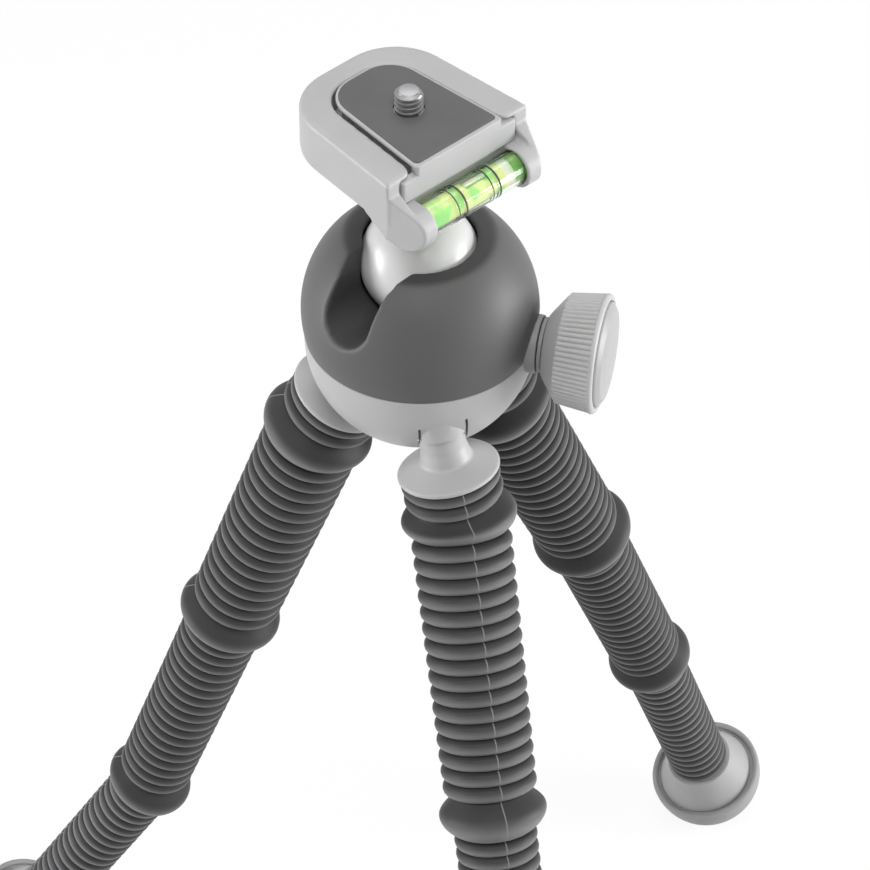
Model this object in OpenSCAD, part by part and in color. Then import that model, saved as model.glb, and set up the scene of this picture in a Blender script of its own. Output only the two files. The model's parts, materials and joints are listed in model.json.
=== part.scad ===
// Tabletop tripod with three flexible ribbed legs, a ball head and a quick release camera plate.
// Millimetres, Z up. The origin is where the camera screw leaves the pad, and X points to the bubble level.

/* [Camera plate] */
// Radius of the quarter inch camera screw over its thread
screw_r = 3.175; // [3.1:0.005:3.25]
// Height of the camera screw above the pad
screw_up = 5; // [4.6:0.1:8]
// Radius of the plain shank under the thread
shank_r = 2.6; // [2.2:0.05:2.9]
// Radius of the screw head under the plate
screw_head_r = 6; // [5:0.1:7]
// Height of the screw head under the plate
screw_head_t = 1.6; // [1.2:0.1:1.9]
// Half width of the rubber pad at its front edge
pad_half_w = 12; // [11.5:0.1:12.5]
// Distance from the screw to the front edge of the pad
pad_front = 15.2; // [14.5:0.1:15.4]
// Distance from the screw to the rear edge of the pad
pad_rear = 16.3; // [15:0.1:17]
// Radius of the rear corners of the pad
pad_corner = 7.5; // [5:0.1:8.5]
// Share of length by which the sides of plate and receiver close in towards the rear
side_taper = 0.08; // [0:0.01:0.1]
// Thickness of the rubber pad
pad_t = 1.4; // [1:0.1:1.8]
// Width of the plate's rim around the pad
rim_w = 1; // [0.6:0.1:1.5]
// Depth of the rim below the top of the pad
rim_drop = 0.35; // [0.2:0.05:0.6]
// Thickness of the plate with its pad
plate_t = 8; // [7.6:0.1:8.2]
// Thickness of the plate's side flanges
flange_lip_t = 5.3; // [4.6:0.1:5.4]
// Width that the flanges add to each side of the plate
flange_lip_w = 3.6; // [2.6:0.1:4]
// Sliding clearance round the plate
slide_gap = 0.3; // [0.2:0.05:0.5]

/* [Receiver] */
// Half width of the receiver at its front
receiver_half_w = 20.7; // [20.2:0.1:22]
// Distance from the screw to the front of the receiver's arms
receiver_front = 15.4; // [14.8:0.1:15.8]
// Distance from the screw to the rear end of the receiver
receiver_rear = 23.3; // [22:0.1:25]
// Radius of the rear corners of the receiver
receiver_corner = 13.7; // [11:0.1:15]
// Depth of the receiver's top below the top of the pad
receiver_top = 1.2; // [0.8:0.1:1.6]
// Depth of the receiver's underside below the top of the pad
receiver_depth = 14.5; // [14:0.1:15]
// Distance from the screw forward to the level's axis
level_x = 18.7; // [18.4:0.1:19.6]
// Depth of the level's axis below the top of the pad
level_drop = 12.9; // [12.7:0.1:13.4]
// Outer radius of the level's tube
level_r = 3.9; // [3.4:0.1:4]
// Wall of the level's tube
level_wall = 0.8; // [0.6:0.1:1.2]
// Free length of the level between its ears
level_len = 26.8; // [24:0.1:27.4]
// Depth of the level's seat in each ear
level_seat = 2.4; // [1.5:0.1:3]
// Length of each end plug of the level
plug_len = 2.6; // [2:0.1:4]
// Radius of the rounded end of each ear
ear_r = 5; // [4.9:0.1:5.6]
// Half width of the receiver over its ears
ear_half_w = 17.3; // [16.6:0.1:19]
// Length over which each ear grows out of the receiver's underside
ear_run = 8; // [5:0.1:12]
// Length of the bubble in the level
bubble_len = 5; // [3:0.5:8]
// Radius of the bubble in the level
bubble_r = 1.3; // [0.8:0.1:1.6]

/* [Ball] */
// Radius of the ball
ball_r = 13.6; // [13.2:0.1:14]
// Height of the ball's centre above the seam of the housing
ball_h = 19.7; // [19:0.1:20.5]
// Distance from the screw forward to the ball's axis
ball_x = 3.4; // [2:0.1:5]
// Height of the top of the pad above the ball's centre
pad_over_ball = 40.5; // [40:0.1:44]
// Radius of the stem between ball and receiver
stem_r = 5.2; // [4.5:0.1:5.5]
// Radius of the stem's shoulder under the receiver
stem_top_r = 7.6; // [6:0.1:9]
// Radius of the spigot that the receiver turns on
spigot_r = 4; // [3.4:0.1:4.4]
// Depth of the stem's tail in the ball
stem_tail = 16; // [12:0.5:20]
// Radius of the head of the screw that holds the receiver on the stem
stem_head_r = 5.4; // [5:0.1:6]
// Radius of the thread of that screw
stem_thread_r = 2; // [1.5:0.1:2.4]
// Length of the thread of that screw
stem_thread_len = 12; // [8:0.5:16]

/* [Housing] */
// Radius of the round upper housing
dome_r = 26.8; // [26.5:0.1:27.5]
// Height of the dome's centre above the seam
dome_rise = 6; // [5:0.1:7]
// Height of the dome's flat top above the ball's centre
dome_over = 6.9; // [6.4:0.1:7.4]
// Width of the notch that the stem tilts into
notch_w = 12.4; // [12:0.1:14]
// Depth of the notch's round floor below the ball's centre
notch_drop = 9; // [8.6:0.1:9.4]
// Direction of the notch
notch_az = -86; // [-92:1:-78]
// Distance from the seam down to the centre of the lower housing's round wall
cup_centre = 1.4; // [1:0.1:2.5]
// Depth of the lower housing below the seam
cup_depth = 24.5; // [24:0.1:25]
// Radius of the room inside the housing
room_r = 20; // [19:0.1:21]
// Depth of that room below the seam
room_depth = 8; // [7:0.1:8.5]
// Height of that room above the seam
room_up = 4.6; // [4:0.1:5]
// Distance of the housing screws from the axis
post_ring_r = 15.5; // [15:0.1:16]
// Radius of the screw posts in the lower housing
post_r = 3.4; // [3:0.1:4]
// Radius of the housing screws' threads
shell_thread_r = 1.5; // [1.2:0.1:1.8]
// Radius of the housing screws' heads
shell_head_r = 2.8; // [2.4:0.1:3]
// Height of the housing screws' heads
shell_head_t = 2; // [1.5:0.1:2.5]
// Depth that the housing screws reach into the upper housing
shell_bite = 7; // [5:0.1:8]
// Thickness of the housing's floor over the screws' heads
shell_floor = 4; // [3:0.1:5]

/* [Clamp] */
// Direction of the clamp knob
knob_az = 32.9; // [28:0.1:38]
// Depth of the knob's axis below the ball's centre
clamp_drop = 19.2; // [19:0.1:19.4]
// Radius of the knob over its ribs
knob_r = 13.2; // [12.6:0.1:15]
// Distance of the knob's outer face from the axis of the housing
knob_face = 43.8; // [43:0.1:46]
// Width of the knob's ribbed band
knob_band = 9.4; // [8:0.1:10]
// Number of ribs round the knob
knob_ribs = 68; // [40:2:72]
// Radius of the cap in the knob's face
cap_r = 11.9; // [10:0.1:12]
// Thickness of the cap
cap_t = 3.2; // [2.8:0.1:3.6]
// Radius of the bush in the housing
bush_r = 6.3; // [5.5:0.1:6.8]
// Distance of the bush's outer end from the axis of the housing
bush_out = 27.8; // [27.4:0.1:28.6]
// Length of the bush
bush_len = 9; // [8:0.1:9.5]
// Thickness of the thrust washer between bush and knob
washer_t = 0.8; // [0.5:0.1:1]
// Radius of the clamp screw
clamp_r = 2.5; // [2.2:0.05:2.6]
// Distance of the clamp screw's point from the axis of the housing
clamp_tip = 1.5; // [1.2:0.1:1.8]
// Share of the clamp screw's way that its wedge turns into lift
wedge = 0.5; // [0.4:0.05:0.6]
// Travel of the seat that the clamp screw lifts
seat_travel = 0.6; // [0.4:0.1:0.8]
// Radius of the seat that the clamp screw lifts against the ball
seat_r = 10; // [9:0.1:10.5]
// Depth of the seat's rim below the ball's centre
seat_rim_drop = 11.1; // [10.8:0.1:11.6]
// Running clearance of the seat and of the turning fits
run_gap = 0.05; // [0.02:0.01:0.1]
// Clearance between moving pieces
free_gap = 0.3; // [0.2:0.05:0.4]

/* [Leg roots] */
// Direction of the first leg
first_leg_az = -27; // [-35:0.1:-20]
// Distance of the three leg flanges from the axis of the housing
flange_ring_r = [22.3, 21, 18.5]; // [18:0.1:23]
// Depth of the leg flanges below the seam
flange_drop = 23; // [22.6:0.1:24]
// Outward tilt of the three leg roots
root_tilt = [12, 16, 26]; // [8:0.1:28]
// Sideways lean of the three leg roots
root_lean = [7.6, -1.2, 0]; // [-8:0.1:8]
// Radius of the necks that plug into the housing
neck_r = 5.3; // [5:0.1:5.6]
// Radius of the necks where they meet the flanges
neck_foot_r = 6.2; // [5.8:0.1:7]
// Height of the necks above the flanges
neck_len = 13; // [12.5:0.1:13.5]
// Height of the conical foot of the necks
neck_cone = 6; // [4:0.1:7]
// Radius of the leg flanges
leg_flange_r = 11.7; // [11:0.1:13]
// Height of the cone on top of each flange
flange_cone = 2.6; // [2:0.1:4]
// Thickness of the edge of each flange
flange_edge = 1; // [0.8:0.1:2]
// Distance from each flange to the first collar
root_len = 13.2; // [12.8:0.1:15]
// Radius of the leg screws' threads
leg_thread_r = 1.5; // [1.2:0.1:2]
// Radius of the leg screws' heads
leg_head_r = 3; // [2.6:0.1:3.4]
// Height of the leg screws' heads
leg_head_t = 2; // [1.5:0.1:2.5]
// Depth that the leg screws reach into the necks
leg_bite = 7; // [5:0.5:9]
// Thickness of the cuff that the lower housing puts round each neck
cuff_t = 0.8; // [0.5:0.1:1.2]
// Height of the cuff's lower edge above the flange
cuff_low = 10.2; // [9.6:0.1:11]
// Width of the slits beside each neck
slit_w = 0.6; // [0.4:0.1:0.9]
// Length of those slits above the neck's foot
slit_len = 8.5; // [7:0.1:9]

/* [Legs] */
// Length of one leg section from collar to collar
seg_len = 71; // [66:0.5:78]
// Tilt of the first leg's upper, then middle section
tilt_1 = [28.4, 24]; // [0:0.1:45]
// Tilt of the second leg's upper, then middle section
tilt_2 = [25.5, 24.2]; // [0:0.1:45]
// Tilt of the third leg's upper, then middle section
tilt_3 = [19.6, 19.6]; // [0:0.1:45]
// Tilt of the second leg's last section, which sets the height of all feet
foot_tilt = 22.6; // [20:0.1:28]
// Sideways lean of the first leg's three sections
lean_1 = [-1.3, 0, 0]; // [-5:0.1:5]
// Sideways lean of the second leg's three sections
lean_2 = [-1.2, 0.5, 0.5]; // [-5:0.1:5]
// Sideways lean of the third leg's three sections
lean_3 = [-1.3, -1.3, -1.3]; // [-5:0.1:5]
// Radius of the collars from top to bottom
collar_r = [13.3, 12.5, 10.8]; // [10:0.1:15]
// Half length of each collar
collar_half = 4.8; // [4:0.1:5.5]
// Radius of the sleeves over their ribs at the top of each section
sleeve_top_r = [11.6, 9.7, 8.1]; // [7.5:0.1:12]
// Radius of the sleeves over their ribs at the bottom of each section
sleeve_end_r = [10.9, 9.3, 7.9]; // [7.5:0.1:12]
// Radius of the short sleeve above the first collar
stub_r = 11.4; // [11:0.1:12]
// Length by which each ribbed tube runs into its collar
collar_lap = 1; // [0.6:0.1:1.5]
// Depth of the grooves between the ribs
groove = [1, 0.8, 0.5]; // [0.3:0.1:1.2]
// Number of ribs in each section
rib_count = [16, 18, 18]; // [10:1:20]
// Number of ribs on the short sleeve above the first collar
stub_ribs = 2; // [1:1:3]
// Radius of the bore of the sleeves
bore_r = [8.8, 7.3, 6.2]; // [6:0.1:9]
// Radius of the balls in the leg joints
joint_r = [6.4, 5, 4]; // [3.8:0.1:6.5]
// Radius of the necks of those balls
joint_neck_r = [2.6, 2, 1.6]; // [1.4:0.1:2.8]
// Half angle of the mouth of each joint socket
mouth_angle = 65; // [63:1:70]
// Radius of the rods of the links
rod_r = [5.6, 4.8, 4.2]; // [3.8:0.1:6]
// Clearance of the links inside the sleeves
sleeve_gap = 0.4; // [0.3:0.05:0.5]

/* [Feet] */
// Radius of the round feet
foot_r = 14.8; // [13:0.1:16]
// Height of the foot's cone above the foot's centre
foot_cone = 9; // [8:0.1:11]
// Radius of the top of the foot's cone
foot_neck_r = 8.9; // [8.6:0.1:10]
// Width of the pad's rim
foot_rim = 1.5; // [1:0.1:2]
// Width of the groove between the rim and the cone
foot_groove = 0.9; // [0.4:0.1:1.5]
// Height of the cone's edge above the foot's centre
foot_edge = 1; // [0.6:0.1:2]
// Radius of the plug that holds the pad
foot_plug_r = 6; // [5:0.1:8]
// Length of that plug below the foot's centre
foot_plug = 6; // [4:0.5:8]

/* [Hidden] */
$fn = 64;
LEGS = [1, 2, 3];

// Small overlap that joins or cuts shapes cleanly
eps = 0.05;
// Thickness of a cut that runs right through
through = 100;
// Distance that a straight side of an outline runs into its round corner
tangent_lap = 0.01;

// Colours of the finishes
pale_grey = [0.74, 0.74, 0.74];
dark_grey = [0.33, 0.33, 0.34];
sleeve_grey = [0.36, 0.36, 0.36];
steel = [0.7, 0.7, 0.72];

// Heights in the head, below the top of the pad
plate_floor = -plate_t;
receiver_floor = plate_floor - slide_gap;
lip_under = plate_floor + flange_lip_t + slide_gap;
seat_top = -receiver_depth;

// Heights above the seam of the housing that follow the ball
seam_drop = ball_h + pad_over_ball;
dome_top = ball_h + dome_over;
notch_floor = ball_h - notch_drop;
knob_h = ball_h - clamp_drop;
seat_rim = ball_h - seat_rim_drop;
// Radius of the housing at its seam, and of the lower housing's sphere
seam_r = sqrt(dome_r * dome_r - dome_rise * dome_rise);
cup_r = sqrt(seam_r * seam_r + cup_centre * cup_centre);
// Height of the stem's shoulder above the seam
shoulder_h = seam_drop + seat_top - free_gap;
// Depth of the screw head in the receiver
stem_head_t = 2.2;
// Height of a housing screw's seat in the floor of the lower housing
shell_seat = -room_depth - shell_floor;
// Length of the clamp screw's point
tip_len = clamp_r / wedge;
// Heights of the seat's cone above the seam, clear of the clamp screw when the seat is down
seat_point = knob_h - clamp_tip * wedge + free_gap * sqrt(1 + wedge * wedge);
seat_under = knob_h + clamp_r + seat_travel + free_gap;
// Distance of the knob's inner face from the axis of the housing
knob_in = bush_out + washer_t + free_gap + free_gap;
// Distance along the knob where the ribbed band starts
band_in = knob_face - cap_t / 2 - knob_band;
// Quarter of a leg section, where its upper joint sits
quarter = seg_len / 4;

// Directions of the legs and of the housing screws between them
post_turn = 34;
leg_az = [for (leg = LEGS) first_leg_az + 120 * (leg - 1)];
post_az = [for (a = leg_az) a + post_turn];
// Leans and tilts of a leg's sections, with the last tilt found from the common height of the feet
leans = [lean_1, lean_2, lean_3];
upper_tilts = [tilt_1, tilt_2, tilt_3];
function fall(tilt, lean) = cos(tilt) * cos(lean);
function upper_fall(k) = root_len * fall(root_tilt[k], root_lean[k])
    + seg_len * (fall(upper_tilts[k][0], leans[k][0]) + fall(upper_tilts[k][1], leans[k][1]));
foot_fall = upper_fall(1) + seg_len * fall(foot_tilt, leans[1][2]);
function last_tilt(k) = k == 1
    ? foot_tilt
    : acos((foot_fall - upper_fall(k)) / (seg_len * cos(leans[k][2])));
tilts = [for (k = [0 : 2]) [upper_tilts[k][0], upper_tilts[k][1], last_tilt(k)]];
// Direction down a leg for a tilt and a lean
function down(k, tilt, lean) = let (out = sin(tilt) * cos(lean), side = sin(lean), a = leg_az[k]) [
    out * cos(a) - side * sin(a), out * sin(a) + side * cos(a), -fall(tilt, lean)
];
// Places of a leg's flange and collars
function flange_at(k) = let (r = flange_ring_r[k], a = leg_az[k]) [r * cos(a), r * sin(a), -flange_drop];
function collar_at(k, i) = i == 0
    ? flange_at(k) + root_len * down(k, root_tilt[k], root_lean[k])
    : collar_at(k, i - 1) + seg_len * down(k, tilts[k][i - 1], leans[k][i - 1]);

// Distance from a collar's centre where bores and rods end, inside a ball that joins them at any tilt
meet_gap = 1;
// Extra radius of the ball that joins two bores
meet_ball = 0.2;

// Outer and inner radius of a joint socket
function socket_in(i) = joint_r[i] + free_gap;
function socket_out(i) = bore_r[i] - sleeve_gap;
// Distance from a joint ball's centre to where its rod has its full radius
function joint_reach(i, radius) = socket_out(i) + 1.5 * (radius - joint_neck_r[i]);

// Frames of the housing, the knob, and the legs
module at_dome() {
    translate([ball_x, 0, -seam_drop]) children();
}
module at_knob() {
    at_dome() rotate([0, 0, knob_az]) translate([0, 0, knob_h]) rotate([0, 90, 0]) children();
}
module at_flange(leg) {
    k = leg - 1;
    at_dome() translate(flange_at(k)) rotate([root_lean[k], -root_tilt[k], leg_az[k]]) children();
}
module at_section(leg, i) {
    k = leg - 1;
    at_dome() translate(collar_at(k, i)) rotate([leans[k][i], -tilts[k][i], leg_az[k]]) children();
}
// Frame at a collar that still follows what is above it
module at_above(leg, i) {
    if (i == 0)
        at_flange(leg) translate([0, 0, -root_len]) children();
    else
        at_section(leg, i - 1) translate([0, 0, -seg_len]) children();
}
module around(angles) {
    for (a = angles) rotate([0, 0, a]) children();
}
// A cylinder from one height to another
module rod(r, from, to) {
    translate([0, 0, min(from, to)]) cylinder(r = r, h = abs(to - from));
}
module cone(r_from, r_to, from, to) {
    translate([0, 0, to]) cylinder(r1 = r_to, r2 = r_from, h = from - to);
}
module block(x, y, z) {
    translate([x[0], y[0], z[0]]) cube([x[1] - x[0], y[1] - y[0], z[1] - z[0]]);
}

// Outline with sides that close in towards two round rear corners
module tapered_outline(front, rear, half, corner) {
    slope = sqrt(1 + side_taper * side_taper);
    x = corner - rear;
    y = half - side_taper * (front - x) - corner * slope;
    reach = (corner - tangent_lap) / slope;
    meet = [x - reach * side_taper, y + reach];
    polygon([[front, -half], [front, half], meet, [-rear, y], [-rear, -y], [meet[0], -meet[1]]]);
    for (side = [-1, 1]) translate([x, side * y]) circle(corner);
}
// Outline of the pad, grown by a margin, and more or less at its front and rear
module pad_outline(grow = 0, front_grow = 0, rear_grow = 0) {
    tapered_outline(
        pad_front + grow + front_grow, pad_rear + grow + rear_grow,
        pad_half_w + grow + side_taper * (grow + front_grow), pad_corner + grow
    );
}
module slab(z) {
    translate([0, 0, z[0]]) linear_extrude(z[1] - z[0]) children();
}

module quick_plate() {
    color(pale_grey) difference() {
        union() {
            slab([plate_floor, -rim_drop]) pad_outline(rim_w);
            slab([plate_floor, plate_floor + flange_lip_t])
                pad_outline(rim_w + flange_lip_w, -flange_lip_w, -flange_lip_w);
        }
        slab([-pad_t, through]) pad_outline(0);
        rod(shank_r + run_gap, -through, through);
        rod(screw_head_r + free_gap, plate_floor - eps, plate_floor + screw_head_t + free_gap);
    }
}
module plate_pad() {
    color([0.43, 0.43, 0.43]) difference() {
        slab([-pad_t, 0]) pad_outline(-run_gap);
        rod(screw_r + free_gap, -through, through);
    }
}
module camera_screw() {
    chamfer = 0.5;
    color(steel) difference() {
        union() {
            rod(screw_r, 0, screw_up - chamfer);
            cone(screw_r - chamfer, screw_r, screw_up, screw_up - chamfer);
            rod(shank_r, plate_floor + screw_head_t, 0);
            rod(screw_head_r, plate_floor + eps, plate_floor + screw_head_t);
        }
        slot_w = 1.4;
        slot_t = 0.8;
        block([-through, through], [-slot_w / 2, slot_w / 2], [plate_floor - eps, plate_floor + slot_t]);
    }
}

// Ears that hold the level, growing out of the receiver's underside and flat just under the plate's slot
module receiver_ears() {
    low = -level_drop - ear_r;
    high = receiver_floor - eps;
    root = receiver_front - ear_run;
    thick = ear_half_w - level_len / 2;
    for (y = [-ear_half_w, level_len / 2])
        translate([0, y + thick, 0]) rotate([90, 0, 0]) linear_extrude(thick) intersection() {
            union() {
                polygon([[root, seat_top + 1], [level_x, low], [level_x, high], [root, high]]);
                translate([level_x, -level_drop]) circle(ear_r);
            }
            translate([root, low - ear_r]) square([level_x, high - low + ear_r]);
        }
}
module receiver() {
    head_top = receiver_floor - free_gap;
    head_floor = head_top - stem_head_t - free_gap;
    color(pale_grey) difference() {
        union() {
            slab([seat_top, -receiver_top])
                tapered_outline(receiver_front, receiver_rear, receiver_half_w, receiver_corner);
            receiver_ears();
        }
        slab([receiver_floor, lip_under])
            pad_outline(rim_w + flange_lip_w + slide_gap, through, -flange_lip_w);
        slab([receiver_floor, through]) pad_outline(rim_w + slide_gap, through);
        translate([level_x, level_len / 2 + level_seat, -level_drop]) rotate([90, 0, 0])
            cylinder(r = level_r + run_gap, h = level_len + 2 * level_seat);
        translate([ball_x, 0, 0]) {
            rod(spigot_r + run_gap, -through, 0);
            rod(stem_head_r + free_gap, head_floor, 0);
        }
    }
}
module level_tube() {
    reach = level_len / 2 + level_seat - eps;
    color([0.8, 0.9, 0.7, 0.4]) translate([level_x, 0, -level_drop]) rotate([90, 0, 0]) difference() {
        rod(level_r, -reach, reach);
        rod(level_r - level_wall, -through, through);
    }
}
module level_fluid() {
    reach = level_len / 2 + level_seat - eps - plug_len;
    color([0.65, 0.95, 0.2, 0.6]) translate([level_x, 0, -level_drop]) rotate([90, 0, 0]) difference() {
        rod(level_r - level_wall, -reach, reach);
        translate([0, level_r - level_wall - bubble_r - 2 * eps, 0]) {
            rod(bubble_r, -bubble_len / 2, bubble_len / 2);
            for (side = [-1, 1]) translate([0, 0, side * bubble_len / 2]) sphere(bubble_r);
        }
    }
}
module level_plugs() {
    reach = level_len / 2 + level_seat - eps;
    color([0.4, 0.75, 0.2]) translate([level_x, 0, -level_drop]) rotate([90, 0, 0])
        for (side = [-1, 1]) rod(level_r - level_wall, side * (reach - plug_len), side * reach);
}

module ball() {
    color("white") at_dome() difference() {
        translate([0, 0, ball_h]) sphere(ball_r);
        rod(stem_r, ball_h + ball_r - stem_tail, through);
    }
}
module stem() {
    flare = 3;
    spigot_top = seam_drop + receiver_floor - 2 * free_gap - stem_head_t;
    color([0.92, 0.92, 0.92]) at_dome() difference() {
        union() {
            rod(stem_r, ball_h + ball_r - stem_tail, shoulder_h);
            cone(stem_top_r, stem_r, shoulder_h, shoulder_h - flare);
            rod(spigot_r, shoulder_h - eps, spigot_top);
        }
        rod(stem_thread_r, spigot_top - stem_thread_len - free_gap, through);
    }
}
module stem_screw() {
    head_top = seam_drop + receiver_floor - free_gap;
    socket_w = 3;
    color(steel) at_dome() difference() {
        union() {
            rod(stem_head_r, head_top - stem_head_t, head_top);
            rod(stem_thread_r, head_top - stem_head_t - stem_thread_len - free_gap, head_top - stem_head_t);
        }
        translate([0, 0, head_top - stem_head_t / 2]) cylinder(r = socket_w / 2, h = stem_head_t, $fn = 6);
    }
}

module socket_dome() {
    color(dark_grey) difference() {
        at_dome() difference() {
            intersection() {
                translate([0, 0, dome_rise]) sphere(dome_r);
                rod(2 * dome_r, 0, dome_top);
            }
            translate([0, 0, ball_h]) sphere(ball_r + free_gap);
            rod(seat_r + run_gap, 0, ball_h);
            rod(room_r, -eps, room_up);
            rotate([0, 0, notch_az]) {
                rise = notch_floor + notch_w / 2;
                translate([0, 0, rise]) rotate([0, 90, 0]) cylinder(r = notch_w / 2, h = through);
                block([0, through], [-notch_w / 2, notch_w / 2], [rise, through]);
            }
            around(post_az) translate([post_ring_r, 0, 0])
                rod(shell_thread_r, 0, room_up + shell_bite + free_gap);
        }
        at_knob() rod(bush_r + run_gap, 0, through);
    }
}
module cup_shell() {
    intersection() {
        translate([0, 0, -cup_centre]) sphere(cup_r);
        rod(2 * cup_r, -cup_depth, 0);
    }
}
// Lower housing before its holes: round shell, cuffs round the necks, the room inside and the screw posts
module cup_blank() {
    difference() {
        union() {
            at_dome() cup_shell();
            for (leg = LEGS) at_flange(leg) rod(neck_r + cuff_t, cuff_low, neck_len + leg_head_t);
        }
        at_dome() rod(room_r, -room_depth, through);
    }
    at_dome() around(post_az) translate([post_ring_r, 0, 0]) rod(post_r, -room_depth - eps, room_up);
}
module base_cup() {
    color(pale_grey) difference() {
        cup_blank();
        at_dome() around(post_az) translate([post_ring_r, 0, 0]) {
            rod(shell_thread_r + run_gap, -through, through);
            rod(shell_head_r + run_gap, -through, shell_seat);
        }
        for (leg = LEGS) at_flange(leg) {
            rod(neck_r + run_gap, 0, neck_len);
            cone(neck_r + run_gap, neck_foot_r + run_gap, neck_cone, 0);
            cone(neck_foot_r + run_gap, leg_flange_r + run_gap, flange_cone + run_gap, 0);
            rod(leg_flange_r + run_gap, -flange_edge, eps);
            rod(leg_thread_r + run_gap, 0, through);
            rod(leg_head_r + run_gap, neck_len + leg_head_t, through);
            for (side = [-1, 1])
                block([0, through], [side * neck_r - slit_w / 2, side * neck_r + slit_w / 2],
                    [neck_cone, neck_cone + slit_len]);
        }
        at_knob() rod(bush_r + run_gap, 0, through);
    }
}
// Screw with a six sided drive, its head's seat at height 0 and its thread pointing up
module drive_screw(head_r, head_t, thread_r, length) {
    drive_r = head_r / 2;
    difference() {
        union() {
            rod(head_r, -head_t, 0);
            rod(thread_r, -eps, length);
        }
        translate([0, 0, -head_t - eps]) cylinder(r = drive_r, h = head_t / 2, $fn = 6);
    }
}
module shell_screws() {
    color(steel) at_dome() around(post_az) translate([post_ring_r, 0, shell_seat])
        drive_screw(shell_head_r, shell_head_t, shell_thread_r, room_up + shell_bite - shell_seat);
}
module leg_screws() {
    color(steel) for (leg = LEGS)
        at_flange(leg) translate([0, 0, neck_len + leg_head_t]) rotate([180, 0, 0])
            drive_screw(leg_head_r, leg_head_t, leg_thread_r, leg_head_t + leg_bite);
}

module ball_seat() {
    color([0.2, 0.2, 0.2]) at_dome() difference() {
        union() {
            rod(seat_r, seat_under, seat_rim);
            cone((seat_under - seat_point) / wedge, 0, seat_under + eps, seat_point + eps);
        }
        translate([0, 0, ball_h]) sphere(ball_r + 2 * run_gap);
    }
}
module knob_bush() {
    color([0.55, 0.55, 0.56]) at_knob() difference() {
        rod(bush_r, bush_out - bush_len, bush_out);
        rod(clamp_r + run_gap, 0, through);
    }
}
module thrust_washer() {
    washer_r = bush_r - 1.6;
    color(steel) at_knob() difference() {
        rod(washer_r, bush_out + free_gap, bush_out + free_gap + washer_t);
        rod(clamp_r + run_gap, 0, through);
    }
}
module clamp_screw() {
    color(steel) at_knob() {
        rod(clamp_r, clamp_tip + tip_len, knob_face - 2 * cap_t);
        cone(clamp_r, 0, clamp_tip + tip_len + eps, clamp_tip);
    }
}
module knob_body() {
    rib_r = 0.45;
    inner_r = 9;
    core_r = knob_r - rib_r;
    bevel = 0.8;
    color([0.72, 0.72, 0.72]) at_knob() difference() {
        union() {
            cone(core_r, inner_r, band_in, knob_in);
            rod(core_r, band_in, band_in + knob_band);
            for (i = [0 : knob_ribs - 1]) rotate([0, 0, 360 * i / knob_ribs])
                translate([core_r, 0, 0]) rod(rib_r, band_in + bevel, band_in + knob_band - bevel);
        }
        rod(clamp_r, 0, through);
        rod(cap_r + run_gap, band_in + knob_band + cap_t / 2 - cap_t, through);
    }
}
module knob_cap() {
    edge = 1.2;
    color([0.8, 0.8, 0.8]) at_knob() {
        rod(cap_r, knob_face - cap_t, knob_face - edge);
        cone(cap_r - edge, cap_r, knob_face, knob_face - edge);
    }
}

// Solid of revolution of a tapered, ribbed tube from height 0 down to a length, its hole not yet bored out
module ribbed(length, r_top, r_end, depth, count, hole) {
    pitch = length / count;
    function at(z) = r_top + (r_end - r_top) * z / length;
    flank = 0.28 * pitch;
    rotate_extrude() polygon([
        [hole, 0],
        for (i = [0 : count - 1]) let (z = i * pitch) each [
            [at(z) - depth, -z],
            [at(z), -z - flank],
            [at(z + pitch), -z - pitch + flank]
        ],
        [r_end - depth, -length],
        [hole, -length]
    ]);
}
// Rounded collar centred on its frame
module collar(r, edge_r, hole) {
    steps = 8;
    rotate_extrude() polygon([
        [hole, collar_half],
        for (i = [0 : steps]) let (a = 90 - 180 * i / steps)
            [edge_r + (r - edge_r) * cos(a), collar_half * sin(a)],
        [hole, -collar_half]
    ]);
}
// Sleeve of one leg section: its collar on the axis above, then the ribbed tube on its own axis
module sleeve(leg, i, end) {
    hole = bore_r[i] / 2;
    color(sleeve_grey) difference() {
        union() {
            at_above(leg, i) collar(collar_r[i], sleeve_top_r[i] - groove[i], hole);
            at_section(leg, i) translate([0, 0, -collar_half + collar_lap])
                ribbed(end - collar_half + collar_lap, sleeve_top_r[i], sleeve_end_r[i], groove[i],
                    rib_count[i], hole);
            if (i == 0)
                at_flange(leg) translate([0, 0, -flange_edge - eps])
                    ribbed(root_len - flange_edge - collar_half + collar_lap, stub_r, stub_r, groove[0],
                        stub_ribs, hole);
        }
        at_above(leg, i) rod(bore_r[i], meet_gap, root_len);
        at_section(leg, i) {
            sphere(bore_r[i] + meet_ball);
            rod(bore_r[i], -through, -meet_gap);
        }
    }
}
module sleeve_upper(leg) {
    sleeve(leg, 0, seg_len - collar_half - free_gap);
}
module sleeve_middle(leg) {
    sleeve(leg, 1, seg_len - collar_half - free_gap);
}
module sleeve_lower(leg) {
    sleeve(leg, 2, seg_len - foot_cone - free_gap);
}

// Ball, neck and shoulder of a leg joint, with the ball's centre at the frame's origin
module joint_ball(i, rod_radius) {
    shoulder = socket_out(i);
    sphere(joint_r[i]);
    rod(joint_neck_r[i], 0, -shoulder - eps);
    cone(joint_neck_r[i], rod_radius, -shoulder, -joint_reach(i, rod_radius));
}
// Room that a socket needs: its round hollow and its open mouth
module socket_hollow(i) {
    mouth = -socket_in(i) * cos(mouth_angle);
    sphere(socket_in(i));
    rod(2 * socket_out(i), mouth, mouth - socket_out(i));
}
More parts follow.
